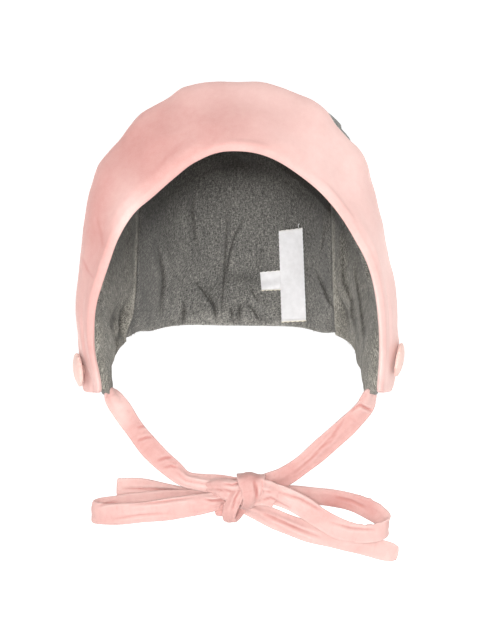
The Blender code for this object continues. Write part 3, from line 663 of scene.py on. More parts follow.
def panel_places(part, rows, columns, towards_neck=1.0):
    """Along and around of a grid over one of the three panels, evenly spaced across."""
    around = 1 - (1 - np.linspace(0, 1, rows + 1)) ** towards_neck
    left, left_half = seam_edges(around, False)
    right, right_half = seam_edges(around, True)
    low, high = {"left": (np.zeros_like(around), left - left_half),
                 "crown": (left + left_half, right - right_half),
                 "right": (right + right_half, np.ones_like(around))}[part]
    dense = np.linspace(0, 1, 900)
    sample = -(rows // 6)
    run = run_along(hood(low[sample] + (high[sample] - low[sample]) * dense, around[sample]))
    share = np.interp(np.linspace(0, run[-1], columns + 1), run, dense)
    along = low[:, None] + (high - low)[:, None] * share[None, :]
    return along, np.broadcast_to(around[:, None], along.shape), share[None, :]


def hang(along, around):
    """How the hood's cloth hangs away from its plain shape near the neck edge and the tips."""
    def bumps(table):
        return sum(much * np.exp(-((along - centre) / wide) ** 2) for much, centre, wide in table)

    late = smooth(0.62, 1.0, around)
    left_tip = bumps(HANG_LEFT_TIP) * smooth(0.0, 0.012, along)
    near_tips = (left_tip + bumps(HANG_RIGHT_TIP)) * smooth(0.10, 0.42, around)
    tips = -TIP_SAG * np.exp(-(from_ends(along) / 0.014) ** 2) * smooth(0.05, 0.4, around)
    return np.stack([bumps(HANG_ASIDE) * late + near_tips, np.zeros_like(along),
                     bumps(HANG_DOWN) * late + tips], axis=-1)


def resample(values, rows, columns, to_rows, to_columns):
    """Values of a coarse grid carried smoothly to a finer one."""
    wide = np.stack([np.interp(to_columns, columns, line) for line in values])
    fine = np.stack([np.interp(to_rows, rows, line) for line in wide.T]).T
    for axis, count in ((0, len(to_rows) // len(rows)), (1, len(to_columns) // len(columns))):
        for _ in range(2 * count):
            padded = np.pad(fine, [(1, 1) if i == axis else (0, 0) for i in (0, 1)], mode="edge")
            before = padded[:-2] if axis == 0 else padded[:, :-2]
            after = padded[2:] if axis == 0 else padded[:, 2:]
            fine = 0.25 * before + 0.5 * fine + 0.25 * after
    return fine


# The cloth simulation of the lining
SETTLE_SIZE = 10.0
SETTLE_STEPS = 16
SETTLE_ROWS = 64
SETTLE_CLOTH = {
    "quality": 5, "mass": 0.2, "tension_stiffness": 12.0, "compression_stiffness": 12.0,
    "shear_stiffness": 6.0, "bending_stiffness": 0.35, "shrink_min": -0.05,
    "vertex_group_mass": "held", "use_pressure": True, "uniform_pressure_force": -0.6,
}
SETTLE_START = 0.0003
SETTLE_LOW, SETTLE_HIGH = -0.0004, 0.0032


def settle(grid, held):
    """Cloth simulation of a grid of slightly over-long cloth, held where it is sewn."""
    scene = bpy.context.scene
    rows, columns = grid.shape[:2]
    faces = [tuple(face) for face in grid_faces(rows, columns)]
    mesh = bpy.data.meshes.new("settling")
    mesh.from_pydata(((grid.reshape(-1, 3) - SEAT) * SETTLE_SIZE).tolist(), [], faces)
    cloth = new_object("settling", mesh)
    group = cloth.vertex_groups.new(name="held")
    group.add([int(i) for i in np.flatnonzero(held.ravel())], 1.0, "REPLACE")
    modifier = cloth.modifiers.new("cloth", "CLOTH")
    for key, value in SETTLE_CLOTH.items():
        setattr(modifier.settings, key, value)
    modifier.settings.effector_weights.gravity = 0.0
    modifier.collision_settings.use_collision = False
    modifier.collision_settings.use_self_collision = False
    modifier.point_cache.frame_start, modifier.point_cache.frame_end = 1, SETTLE_STEPS
    for step in range(1, SETTLE_STEPS + 1):
        scene.frame_set(step)
    shaped = cloth.evaluated_get(bpy.context.evaluated_depsgraph_get())
    points = np.empty(rows * columns * 3)
    shaped.data.vertices.foreach_get("co", points)
    bpy.data.objects.remove(cloth)
    bpy.data.meshes.remove(mesh)
    scene.frame_set(1)
    return points.reshape(rows, columns, 3) / SETTLE_SIZE + SEAT


def settled_lift(part, columns):
    """How far simulated over-long lining stands off its sewn shape, on a coarse grid."""
    along, around, share = panel_places(part, SETTLE_ROWS, columns, LINING_CROWDING)
    normal = hood_normal(along, around)
    sewn = hood(along, around) - normal * (CLOTH_GAP / 2 + LINING_WALL)
    start = sewn - normal * (SETTLE_START + SETTLE_START * noise_at(sewn, 60.0, 31.0))[..., None]
    held = np.zeros(along.shape, bool)
    held[:2] = held[-1:] = held[:, :1] = held[:, -1:] = True
    lift = -((settle(start, held) - sewn) * normal).sum(axis=-1)
    return np.clip(lift, SETTLE_LOW, SETTLE_HIGH), around[:, 0], share[0]


# Creases of the lining as the photograph shows them: how far the cloth lifts, in millimetres,
# how wide the fold is, in view pixels, and its line in the view
CREASES = {
    "crown": (
        ("seam", 0.9, 1.3, ((229, 192), (227, 222), (225, 262), (223, 290), (221, 325))),
        ("fold", 2.2, 3.2, ((255, 206), (247, 214), (240, 223), (233, 239), (229, 256), (225, 274),
                            (223, 296))),
        ("fold", 1.8, 3.0, ((193, 283), (202, 293), (209, 303), (214, 312), (217, 322))),
        ("fold", 1.1, 2.6, ((250, 290), (254, 297), (258, 304))),
        ("fold", 1.0, 2.6, ((248, 307), (254, 314), (261, 323))),
        ("seam", 0.7, 2.0, ((231, 308), (233, 324))),
        ("fold", 1.6, 4.0, ((329, 212), (331, 228), (328, 244), (324, 258))),
        ("fold", 1.4, 3.5, ((318, 268), (330, 292), (336, 318))),
        ("seam", 0.8, 3.0, ((206, 294), (214, 308), (216, 324))),
        ("seam", 0.9, 3.5, ((152, 236), (160, 276), (158, 318))),
        ("seam", 0.7, 3.0, ((182, 300), (184, 326))),
        ("seam", 0.6, 2.6, ((240, 304), (239, 324))),
        ("seam", 0.6, 4.0, ((196, 168), (190, 210), (196, 250))),
    ),
    "left": (
        ("fold", 1.8, 3.6, ((134, 216), (127, 236), (119, 258), (111, 280), (105, 304),
                            (102, 330))),
        ("seam", 1.0, 2.6, ((124, 292), (119, 322), (112, 356))),
        ("seam", 0.8, 2.2, ((117, 300), (109, 336))),
    ),
    "right": (
        ("fold", 2.2, 3.6, ((349, 230), (351, 252), (352, 276), (356, 300), (362, 324),
                            (366, 348))),
        ("fold", 1.6, 3.2, ((360, 262), (365, 292), (369, 322), (371, 350))),
        ("seam", 1.0, 2.6, ((341, 250), (344, 288), (350, 326))),
    ),
}


def crease_lift(points, creases):
    """How far creased cloth stands off towards the hollow, in metres, and how much shade is painted
    into its folds and grooves.
    """
    x, y = in_view(points)
    lift = np.zeros(x.shape)
    painted_crease_shade = np.zeros(x.shape)
    for kind, height, width, line in creases:
        signed, where = from_line(x, y, line)
        ends = np.sin(np.pi * np.clip(where, 0.0, 1.0)) ** 0.6
        if kind == "seam":
            beside = (np.abs(signed) - 2 * width) / width
            shape = -np.exp(-(signed / width) ** 2) + 0.7 * np.exp(-beside ** 2)
            dark = 0.6 * np.exp(-(signed / (0.8 * width)) ** 2)
            full = 0.6
        else:
            rise = 1 / (1 + np.exp(-signed / 0.45))
            shape = rise * np.exp(-np.maximum(signed, 0) / (2.2 * width))
            ends = np.where((where <= 0) | (where >= 1), 0.0, ends)
            dark = 0.70 * np.exp(-np.maximum(signed, 0) / 0.8) * np.exp(np.minimum(signed, 0) / 1.9)
            full = 1.2
        lift += height * MILLIMETRE * shape * ends
        painted_crease_shade = np.maximum(painted_crease_shade, dark * ends * min(height / full, 1.0))
    return lift, painted_crease_shade


# The dark strip of lining right behind the band's edge, in the view
RIM_SHADOW = (
    (232, 153), (252, 154), (276, 163), (299, 178), (319, 196), (334, 214), (346, 236), (355, 260),
)


RIM_DARK, RIM_WIDE = 0.94, 5.0
# The shadow under the top of the opening, in the view: where its top lies and how it curves,
# then its layers: how dark, how far down, how sharply it ends
HOLLOW_COLUMN, HOLLOW_ROW, HOLLOW_CURVE = 238, 152, 0.0062
HOLLOW_LAYERS = ((0.74, 24, 1.3), (0.44, 74, 1.7))
HOLLOW_DARKEST = 0.85
HOLLOW_MIDDLE, HOLLOW_REACH = 236, 190
DARKEST = 0.88


def hollow_shade(points):
    """The deep shadow under the top of the face opening and beside its edges."""
    x, y = in_view(points)
    below = np.clip(y - (HOLLOW_ROW + HOLLOW_CURVE * (x - HOLLOW_COLUMN) ** 2), 0, None)
    deep = sum(dark * np.exp(-(below / down) ** sharp) for dark, down, sharp in HOLLOW_LAYERS)
    aside = np.clip(1 - np.abs(x - HOLLOW_MIDDLE) / HOLLOW_REACH, 0, 1) ** 0.5
    deep = np.clip(deep, 0, HOLLOW_DARKEST) * aside
    signed, where = from_line(x, y, RIM_SHADOW)
    ends = np.sin(np.pi * np.clip(where, 0, 1)) ** 0.5
    strip = RIM_DARK * np.exp(-(signed / RIM_WIDE) ** 4) * ends
    return np.maximum(deep, strip)


def make_lining(part, node, columns, seam_columns, settled_columns, panel_painted_light):
    """A lining panel: puckered at the neck, settled, creased, its seams rolled or in shadow."""
    along, around, share = panel_places(part, LINING_ROWS, columns, LINING_CROWDING)
    normal = hood_normal(along, around)
    rear = hood(along, around) - normal * CLOTH_GAP / 2 + hang(along, around)
    front = rear - normal * LINING_WALL
    to_neck = 1 - around
    gathers = np.sin(along * 230 + 2.2 * np.sin(along * 47)) + 0.6 * np.sin(along * 410 + 1.0)
    puckers = gathers * np.exp(-to_neck / 0.035) * PUCKER_HEIGHT
    puckers = puckers * smooth(0.16, 0.30, from_ends(along))
    squashed = front * np.array([1, 1, 0.40])
    sway = noise_at(front, 34.0, 3.1) * 0.0010 + noise_at(squashed, 95.0, 7.7) * 0.0005
    coarse, coarse_rows, coarse_columns = settled_lift(part, settled_columns)
    sway = sway + resample(coarse, coarse_rows, coarse_columns, around[:, 0], share[0])
    seam_near = seam_columns * {"left": 1 - share, "crown": from_ends(share), "right": share}[part]
    # Crown: painted shadow beside its seams. Sides: the seam lip rolls towards the hollow and is
    # painted lighter, a painted highlight.
    if part == "crown":
        lip = np.zeros_like(along)
        beside = 0.72 * np.exp(-seam_near / 7.0) * smooth(0.10, 0.35, around)
    else:
        lip = np.exp(-seam_near / 9.0) * smooth(0.16, 0.42, around)
        beside = 0.0
    inner = np.clip(seam_near / 10.0, 0, 1)
    fade = np.minimum(around / 0.05, 1.0)
    lift, painted_crease_shade = crease_lift(front, CREASES[part])
    lift = puckers + (np.maximum(sway, -0.0005) + lift) * inner * fade + LIP_HEIGHT * lip
    front = front - normal * np.maximum(lift, LINING_SUNK)[..., None]
    # Lighter towards the neck edge as wear, plus painted highlight on the seam lips and painted
    # light over the side panels
    wear_and_painted_light = panel_painted_light + np.exp(-to_neck / 0.008) * 0.20 + lip ** 3 * 0.45
    wear_and_painted_light = wear_and_painted_light + 0.20 * np.clip(noise_at(front, 700.0, 5.0), 0, 1) * np.exp(-to_neck / 0.03)
    # Painted shadow under the top of the opening and along its rim, painted shade in the creases
    # and painted shadow beside the crown's seams
    shade = np.maximum(hollow_shade(front), np.maximum(painted_crease_shade * inner, beside))
    shape = skirted(front, rear, REAR_STEP,
                    (("wear_and_painted_light", wear_and_painted_light), ("shade", np.clip(shade, 0, DARKEST))))
    finish = LINING if part == "crown" else LINING_SIDE
    place(joined("lining_cloth_" + part, [shape], finish), node)


def make_outer(part, node, columns):
    """An outer panel: soft and full, drawn in at its seams, flat under the band."""
    along, around, share = panel_places(part, OUTER_ROWS, columns)
    normal = hood_normal(along, around)
    rear = hood(along, around) + normal * CLOTH_GAP / 2 + hang(along, around)
    full = 0.0
    for x, y, wide, high, out in OUTER_FULLNESS:
        view_x, view_y = in_view(rear)
        full = full + np.exp(-((view_x - x) / wide) ** 2 - ((view_y - y) / high) ** 2) * out
    sway = noise_at(rear, 32.0, 11.3) * 0.0008 + noise_at(rear, 80.0, 5.3) * 0.0003
    distance = columns * np.minimum(share + (part == "left"), 1 - share + (part == "right"))
    seam = np.exp(-(distance / SEAM_WIDE) ** 2)
    free = np.clip((around - hem_around(along)) / 0.08, 0.0, 1.0)
    out = SHELL_WALL + np.maximum(sway, -0.0003) * free * np.minimum((1 - around) / 0.04, 1.0)
    out = out - SEAM_DIP * seam + full * smooth(0.02, 0.08, around)
    wear_and_painted_light = np.exp(-(1 - around) / 0.01) * 0.3
    shape = sheet(rear + normal * out[..., None], rear, (("wear_and_painted_light", wear_and_painted_light),))
    place(joined("hood_cloth_" + part, [shape], OUTER), node)


for part, lining, outer, columns, outer_columns, seam_columns, settled_columns, panel_painted_light in PANELS:
    make_lining(part, lining, columns, seam_columns, settled_columns, panel_painted_light)
    make_outer(part, outer, outer_columns)

# The band
FLAP_SECTION = (
    # reach as a share of the band, rise as a share of BAND_WALL
    (0.02, 0.44), (0.1, 0.78), (0.24, 1.05), (0.44, 1.34), (0.68, 1.32), (0.88, 1.12), (0.97, 0.85),
    (1.0, 0.45), (0.97, 0.14), (0.8, 0.14), (0.55, 0.12), (0.3, 0.06), (0.02, 0.0),
)
NOSE_SECTION = (
    # shares of BAND_NOSE ahead, and of the whole thickness from inside to outside
    (0.0, 0.02), (0.5, -0.05), (0.92, 0.0), (1.0, 0.13), (0.84, 0.32), (0.45, 0.56),
)


def band_rings(along):
    """Coarse cross-sections of the band at many places: rows by section points."""
    rings = [flap(along, reach, rise) for reach, rise in FLAP_SECTION]
    edge = hood(along, 0.0)
    normal = hood_normal(along, 0.0)
    ahead = unit(edge - hood(along, 0.03))
    inner = -(CLOTH_GAP / 2 + LINING_WALL)
    thick = OUTSIDE + BAND_WALL - inner
    front = edge + ahead * BAND_GAP
    rings.append(front + normal * OUTSIDE)
    for share, through in NOSE_SECTION:
        rings.append(front + ahead * share * BAND_NOSE + normal * (inner + thick * through))
    return np.stack(rings, axis=1)


def closed_curve(rings, steps):
    """Rounds a closed polygon in every row by a spline through its points."""
    before, after = np.roll(rings, 1, axis=1), np.roll(rings, -1, axis=1)
    beyond = np.roll(rings, -2, axis=1)
    parts = []
    for step in range(steps):
        t = step / steps
        parts.append(0.5 * (2 * rings + (after - before) * t
                            + (2 * before - 5 * rings + 4 * after - beyond) * t * t
                            + (3 * rings - before - 3 * after + beyond) * t ** 3))
    return np.stack(parts, axis=2).reshape(rings.shape[0], -1, 3)


# Painted light and shade on the band, darker to the left and paler to the right, as patches in the
# view: centre, radii, and how much
BAND_PAINTED_LIGHT = (
    # x, y, wide, high, paler
    (150, 150, 60, 55, -0.36), (215, 120, 50, 30, -0.16), (95, 230, 22, 60, -0.4),
    (95, 320, 22, 50, -0.2), (92, 376, 14, 16, 0.2), (387, 368, 14, 18, 0.25),
    (128, 215, 16, 40, 0.25), (250, 95, 70, 16, 0.1), (330, 150, 45, 50, 0.3),
    (385, 280, 30, 110, 0.26), (160, 108, 40, 14, -0.05),
)


def patches_in_view(points, patches, base):
    x, y = in_view(points)
    level = np.full(x.shape, base)
    for centre_x, centre_y, wide, high, paler in patches:
        reach = ((x - centre_x) / wide) ** 2 + ((y - centre_y) / high) ** 2
        level += paler * np.exp(-reach)
    return level


# Lines of painted shade on the band, drawn in the view: a height in millimetres that only sets how
# dark, a width in view pixels, and the line; the band keeps its shape
BAND_CREASE_SHADE = (
    (0.5, 1.3, ((79, 254), (84, 262), (88, 271), (94, 279))),
    (0.2, 2.4, ((150, 176), (166, 158), (186, 140))),
    (0.3, 1.6, ((96, 216), (101, 232), (103, 250))),
)
BAND_END = (
    # fall, inset
    (0.25, 0.02), (0.6, 0.08), (0.85, 0.17), (1.0, 0.3), (1.06, 0.5), (1.1, 0.75),
)
BAND_STATIONS = 420
BAND_STEPS = 3
BAND_FLAT = 7
BAND_AROUND = 0.09


def make_band():
    along = np.linspace(0.0, 1.0, BAND_STATIONS)
    rings = closed_curve(band_rings(along), BAND_STEPS)
    section = np.arange(rings.shape[1])
    round_ = np.roll(rings, -1, axis=1) - np.roll(rings, 1, axis=1)
    normal = np.cross(round_, np.gradient(rings, axis=0))
    normal /= np.maximum(np.linalg.norm(normal, axis=-1, keepdims=True), 1e-9)
    if ((rings - rings.mean(axis=1, keepdims=True)) * normal).sum() < 0:
        normal = -normal
    outer = np.clip(np.minimum(section + 3, BAND_STEPS * BAND_FLAT + 3 - section) / 5.0, 0, 1)
    puff = noise_at(rings, 34.0, 21.0) * 0.0011 + noise_at(rings, 90.0, 2.0) * 0.00035
    ends = np.clip(from_ends(along) / 0.02, 0, 1)[:, None]
    rings = rings + normal * (puff * outer[None, :] * ends)[..., None]
    rows = list(rings)
    for end in (0, -1):
        ring = rings[end]
        middle = ring.mean(axis=0)
        for fall, inset in BAND_END:
            shrunk = ring + np.array([0, 0, -BAND_END_DROP * fall]) + (middle - ring) * inset
            rows = [shrunk] + rows if end == 0 else rows + [shrunk]
    rings = np.stack(rows)
    # Painted shade: darker along the drawn crease lines, and along the edge of the opening on the
    # band's right half, where the nose catches the light
    _, dark = crease_lift(rings, [("seam",) + crease for crease in BAND_CREASE_SHADE])
    share = section[None, :] / BAND_STEPS
    rim = np.exp(-((share - 18.2) / 2.0) ** 2) + np.exp(-((share + 1.8) / 2.0) ** 2)
    rim = rim * smooth(236, 282, in_view(rings)[0])
    nap_and_painted_shading = patches_in_view(rings, BAND_PAINTED_LIGHT, 0.50) - 0.6 * dark - 0.22 * rim
    place(joined("band_cloth", [tube(rings, BAND_AROUND, "nap_and_painted_shading", nap_and_painted_shading)], BAND), "front_band")


make_band()

# Buttons
BUTTON_SWEEP = math.radians(9)
BUTTON_DOME_STEPS = 14
BUTTON_TURNS = 96
BUTTON_AROUND = 0.03
BUTTON_SHANK = 0.27
BUTTON_GATHER = 0.00012
BUTTON_BACK = (
    # radius as a share, how far behind the rim
    (0.985, 0.0005), (0.93, 0.0008), (0.8, 0.001), (0.45, 0.001), (0.3, 0.0012),
)


def make_button(node):
    """A velvet-covered button: domed face, gathered rim and a flat back on its shank."""
    data = NODES[node].data
    points = np.empty(len(data.vertices) * 3)
    data.vertices.foreach_get("co", points)
    points = points.reshape(-1, 3) + SEAT
    centre = points.mean(axis=0)
    axis = np.linalg.eigh(np.cov((points - centre).T))[1][:, 0]
    if axis[0] * centre[0] < 0:
        axis = -axis
    height = (points - centre) @ axis
    reach = np.linalg.norm((points - centre) - height[:, None] * axis, axis=1)
    radius = reach.max()
    top, base = height.max(), height.min()
    rim = height[reach > radius * 0.97].mean()
    foot = centre + axis * base
    sweep = BUTTON_SWEEP * (1 if centre[0] > 0 else -1)
    axis = np.array([axis[0] * math.cos(sweep) - axis[1] * math.sin(sweep),
                     axis[0] * math.sin(sweep) + axis[1] * math.cos(sweep), axis[2]])
    centre = foot - axis * base
    side = unit(np.cross(axis, np.array([0.0, 0.0, 1.0])))
    other = np.cross(axis, side)
    profile = []
    for step in range(BUTTON_DOME_STEPS + 1):
        angle = math.pi / 2 * step / BUTTON_DOME_STEPS
        profile.append((radius * math.sin(angle), rim + (top - rim) * math.cos(angle)))
    profile += [(radius * share, rim - behind) for share, behind in BUTTON_BACK]
    profile.append((radius * BUTTON_SHANK, base))
    angle = np.linspace(0, 2 * math.pi, BUTTON_TURNS, endpoint=False)
    rings = []
    for ring_radius, level in profile:
        gather = smooth(0.8, 1.0, ring_radius / radius) * BUTTON_GATHER
        wobble = gather * np.sin(17 * angle) + gather * 0.7 * np.sin(29 * angle + 1.0)
        spread = ring_radius + wobble
        rings.append(centre + axis * (level + wobble[:, None])
                     + side * (spread * np.cos(angle))[:, None]
                     + other * (spread * np.sin(angle))[:, None])
    rings = np.stack(rings)
    nap_and_painted_shading = 0.5 + noise_at(rings, 120.0, 4.0) * 0.2
    place(joined(node + "_cloth", [tube(rings, BUTTON_AROUND, "nap_and_painted_shading", nap_and_painted_shading)], BUTTON), node)


for node in ("button_left", "button_right"):
    make_button(node)

# Ties and bow
STRAP_WIDTH = 0.0102
STRAP_WALL = 0.0026
KNOT_ACROSS = 0.0028
KNOT_BACK = 0.005
KNOT_DROP = 0.0536
LOOP_REACH = 0.0745
TAIL_REACH = 0.078
BOW_SAG = 0.030
BOW_DEPTH = 0.008
STRAP_STEPS = 16
STRAP_COUNT = 56
STRAP_AROUND = 0.022
# How much lighter the strap's rounded edges are painted, a painted highlight
STRAP_EDGE_HIGHLIGHT = 0.22
STRAP_CAP = 0.0004
PLEAT_HEIGHT = 0.00075
ROLL_HEIGHT = 0.00035
PUCKER_DEPTH = 0.0009

# Routes as in the part's source: across or out, down, back, turn and width, and then how
# strongly the cloth is gathered lengthwise
TIE_LEFT = (
    (0.016, 0.012, 1.0, 8.0, 0.72, 0.4), (0.024, 0.05, 1.0, 34.0, 0.86, 0.5),
    (0.05, 0.11, 0.95, 56.0, 0.98, 0.3), (0.104, 0.21, 0.85, 70.0, 1.02, 0.2),
    (0.175, 0.35, 0.75, 76.0, 1.0, 0.1), (0.27, 0.515, 0.7, 82.0, 1.0, 0.1),
    (0.364, 0.65, 0.65, 84.0, 1.0, 0.2), (0.464, 0.765, 0.6, 78.0, 0.95, 0.4),
    (0.56, 0.862, 0.5, 64.0, 0.88, 0.6), (0.69, 0.896, 0.3, 68.0, 0.92, 0.6),
    (0.83, 0.916, 0.05, 74.0, 0.98, 0.8), (0.96, 0.945, 0.0, 78.0, 0.98, 0.9),
)
TIE_RIGHT = (
    (0.0, 0.03, 1.0, 40.0, 0.66, 0.4), (0.012, 0.055, 1.0, 52.0, 0.82, 0.4),
    (0.03, 0.11, 0.95, 60.0, 0.94, 0.3), (0.064, 0.2, 0.85, 72.0, 1.0, 0.2),
    (0.185, 0.35, 0.75, 84.0, 1.0, 0.3), (0.35, 0.525, 0.7, 86.0, 1.0, 0.4),
    (0.525, 0.705, 0.65, 86.0, 1.0, 0.4), (0.685, 0.835, 0.6, 82.0, 1.0, 0.5),
    (0.8, 0.88, 0.4, 78.0, 0.92, 0.7), (0.94, 0.93, 0.1, 78.0, 0.85, 0.9),
)
LOOP_LEFT = (
    (0.06, 0.06, -0.2, 0.0, 0.8, 1.0), (0.2, 0.11, -0.55, 0.0, 0.95, 0.8),
    (0.38, 0.17, -0.85, 0.0, 1.05, 0.4), (0.6, 0.24, -1.0, 0.0, 1.04, 0.2),
    (0.82, 0.29, -0.9, 0.0, 1.04, 0.1), (0.94, 0.3, -0.55, 0.0, 1.02, 0.1),
    (0.985, 0.29, -0.1, 0.0, 1.02, 0.2), (0.94, 0.25, 0.32, 0.0, 1.0, 0.1),
    (0.82, 0.21, 0.45, 0.0, 1.0, 0.1), (0.6, 0.15, 0.45, 0.0, 1.0, 0.3),
    (0.38, 0.1, 0.4, 0.0, 0.95, 0.5), (0.2, 0.05, 0.3, 0.0, 0.85, 0.8),
    (0.06, 0.02, 0.2, 0.0, 0.75, 1.0),
)
LOOP_RIGHT = (
    (0.1, 0.03, 0.6, 0.0, 0.75, 0.9), (0.25, 0.04, 0.75, 0.0, 0.85, 0.7),
    (0.42, 0.06, 0.7, 0.0, 0.88, 0.4), (0.6, 0.095, 0.6, 0.0, 0.9, 0.2),
    (0.76, 0.18, 0.6, 0.0, 0.92, 0.2), (0.89, 0.32, 0.5, 0.0, 0.95, 0.3),
    (0.975, 0.48, 0.15, 0.0, 0.95, 0.3), (0.955, 0.6, -0.3, 0.0, 0.92, 0.3),
    (0.83, 0.64, -0.62, 0.0, 0.95, 0.2), (0.68, 0.56, -0.8, 0.0, 0.98, 0.2),
    (0.54, 0.37, -0.85, 0.0, 1.02, 0.3), (0.4, 0.14, -0.8, 0.0, 1.1, 0.4),
    (0.26, -0.01, -0.6, 0.0, 1.05, 0.7), (0.12, -0.08, -0.25, 0.0, 0.85, 1.0),
)
TAIL_LEFT = (
    (0.07, 0.14, 0.6, 0.0, 0.7, 1.0), (0.18, 0.16, 0.85, 0.0, 0.85, 0.7),
    (0.37, 0.1, 1.0, 0.0, 0.95, 0.4), (0.6, -0.03, 1.0, 0.0, 1.0, 0.2),
    (0.795, -0.05, 0.95, 0.0, 1.0, 0.1),
)
TAIL_RIGHT = (
    (0.03, 0.21, 0.1, 0.0, 0.75, 1.0), (0.13, 0.32, 0.05, 0.0, 0.9, 0.8),
    (0.27, 0.48, 0.0, 0.0, 1.02, 0.5), (0.43, 0.63, 0.0, 0.0, 1.04, 0.3),
    (0.62, 0.76, 0.0, 0.0, 1.0, 0.2), (0.82, 0.9, 0.05, 0.0, 1.0, 0.1),
    (0.96, 0.99, 0.05, 0.0, 0.92, 0.1), (1.01, 1.015, 0.05, 0.0, 0.66, 0.0),
)


def tie_place(sign):
    corner = sign * (CORNER_HALF_WIDTH + TIP_HALF_WIDTH) / 2 - TIP_LEAN / 2
    return lambda across, down, back: (
        corner + (KNOT_ACROSS - corner) * across, KNOT_BACK + (BOW_DEPTH - KNOT_BACK) * back,
        -KNOT_DROP * down)


def bow_place(sign, reach):
    return lambda out, down, back: (
        sign * reach * out, KNOT_BACK + BOW_DEPTH * back, -KNOT_DROP - BOW_SAG * down)


def seams(creases):
    return [("seam",) + crease for crease in creases]


def strap(keyed, upright, base, seed, patches=(), creases=(), pucker=None, wall=STRAP_WALL,
          count=STRAP_COUNT):
    """A flat sewn strap: rounded edges, gathers towards its ends, drawn creases, soft wrinkles."""
    keyed = [(index,) + tuple(row) for index, row in enumerate(keyed)]
    last = len(keyed) - 1
    at = np.linspace(0, last, last * STRAP_STEPS + 1)
    centre = np.stack([column(keyed, i, at) for i in (1, 2, 3)], axis=-1)
    turn, width, gather = (column(keyed, i, at)[:, None] for i in (4, 5, 6))
    tangent = unit(np.gradient(centre, axis=0))
    side = unit(upright - tangent * (tangent @ upright)[:, None])
    angle = np.radians(turn)
    across = side * np.cos(angle) + np.cross(tangent, side) * np.sin(angle)
    through = np.cross(tangent, across)
    round_ = np.linspace(0, 2 * math.pi, count, endpoint=False)
    aside = (np.sign(np.cos(round_)) * np.abs(np.cos(round_)) ** 0.8)[None, :]
    above = (np.sign(np.sin(round_)) * np.abs(np.sin(round_)) ** 0.72)[None, :]
    run = run_along(centre)[:, None]
    half_width = STRAP_WIDTH / 2 * width
    half_wall = wall / 2 * (1 + 0.12 * gather)
    pleat = np.sin(aside * 5.0 + (seed + 0.5 * np.sin(run / 0.013 + seed)))
    fold = gather * PLEAT_HEIGHT * np.sign(pleat) * np.abs(pleat) ** 0.7
    roll = ROLL_HEIGHT * np.sin(run / 0.0085 + seed * 2) * aside
    wave = 1 + 0.035 * np.sin(run / 0.0062 + seed) + 0.02 * np.sin(run / 0.0031 + 3 * seed)
    points = (centre[:, None] + across[:, None] * (aside * half_width * wave)[..., None]
              + through[:, None] * (above * half_wall + fold + roll)[..., None])

    flat = np.stack(np.broadcast_arrays(run, aside * half_width, np.full(run.shape, seed)), axis=-1)
    cross_fold = noise_at(flat * np.array([1.0, 0.30, 1.0]), 330.0, seed)
    long_fold = noise_at(flat * np.array([0.22, 1.0, 1.0]), 620.0, seed + 4.0)
    sharp, sharp_long = (1 - np.minimum(np.abs(f) * 4.5, 1) for f in (cross_fold, long_fold))
    crumple = -0.00018 * sharp ** 2 - (0.00005 + 0.00014 * gather) * sharp_long ** 2
    crumple = crumple + noise_at(points, 260.0, seed + 9.0) * 0.00014
    drawn, dark = crease_lift(points, seams(creases))
    crumple = crumple + drawn
    push = crumple * np.abs(above) ** 0.5 * np.sign(above)
    points = points + through[:, None] * push[..., None]
    if pucker is not None:
        pucker_x, pucker_y, reach, pitch, edge = pucker
        x, y = in_view(points)
        near = np.exp(-((x - pucker_x) ** 2 + (y - pucker_y) ** 2) / reach ** 2)
        teeth = np.sin(run / pitch) + 0.5 * np.sin(run / pitch * 1.7 + 1)
        inward = np.maximum(-aside * edge, 0.0) ** 3
        points = points + across[:, None] * (teeth * near * PUCKER_DEPTH * inward)[..., None]

    caps = [points[end] * 0.45 + points[end].mean(axis=0) * 0.55 + tangent[end] * ahead
            for end, ahead in ((0, -STRAP_CAP), (-1, STRAP_CAP))]
    rings = np.stack([caps[0], *points, caps[1]])
    # Painted shade and highlight: darker in the wrinkles and drawn creases, lighter at the rounded
    # edges
    shade = crumple * 420 - dark * 0.5 + STRAP_EDGE_HIGHLIGHT * np.abs(aside) ** 7
    shade = np.concatenate([shade[:1], shade, shade[-1:]])
    nap_and_painted_shading = patches_in_view(rings, patches, base) + noise_at(rings, 85.0, seed + 2.0) * 0.16 + shade
    return tube(rings, STRAP_AROUND, "nap_and_painted_shading", nap_and_painted_shading)


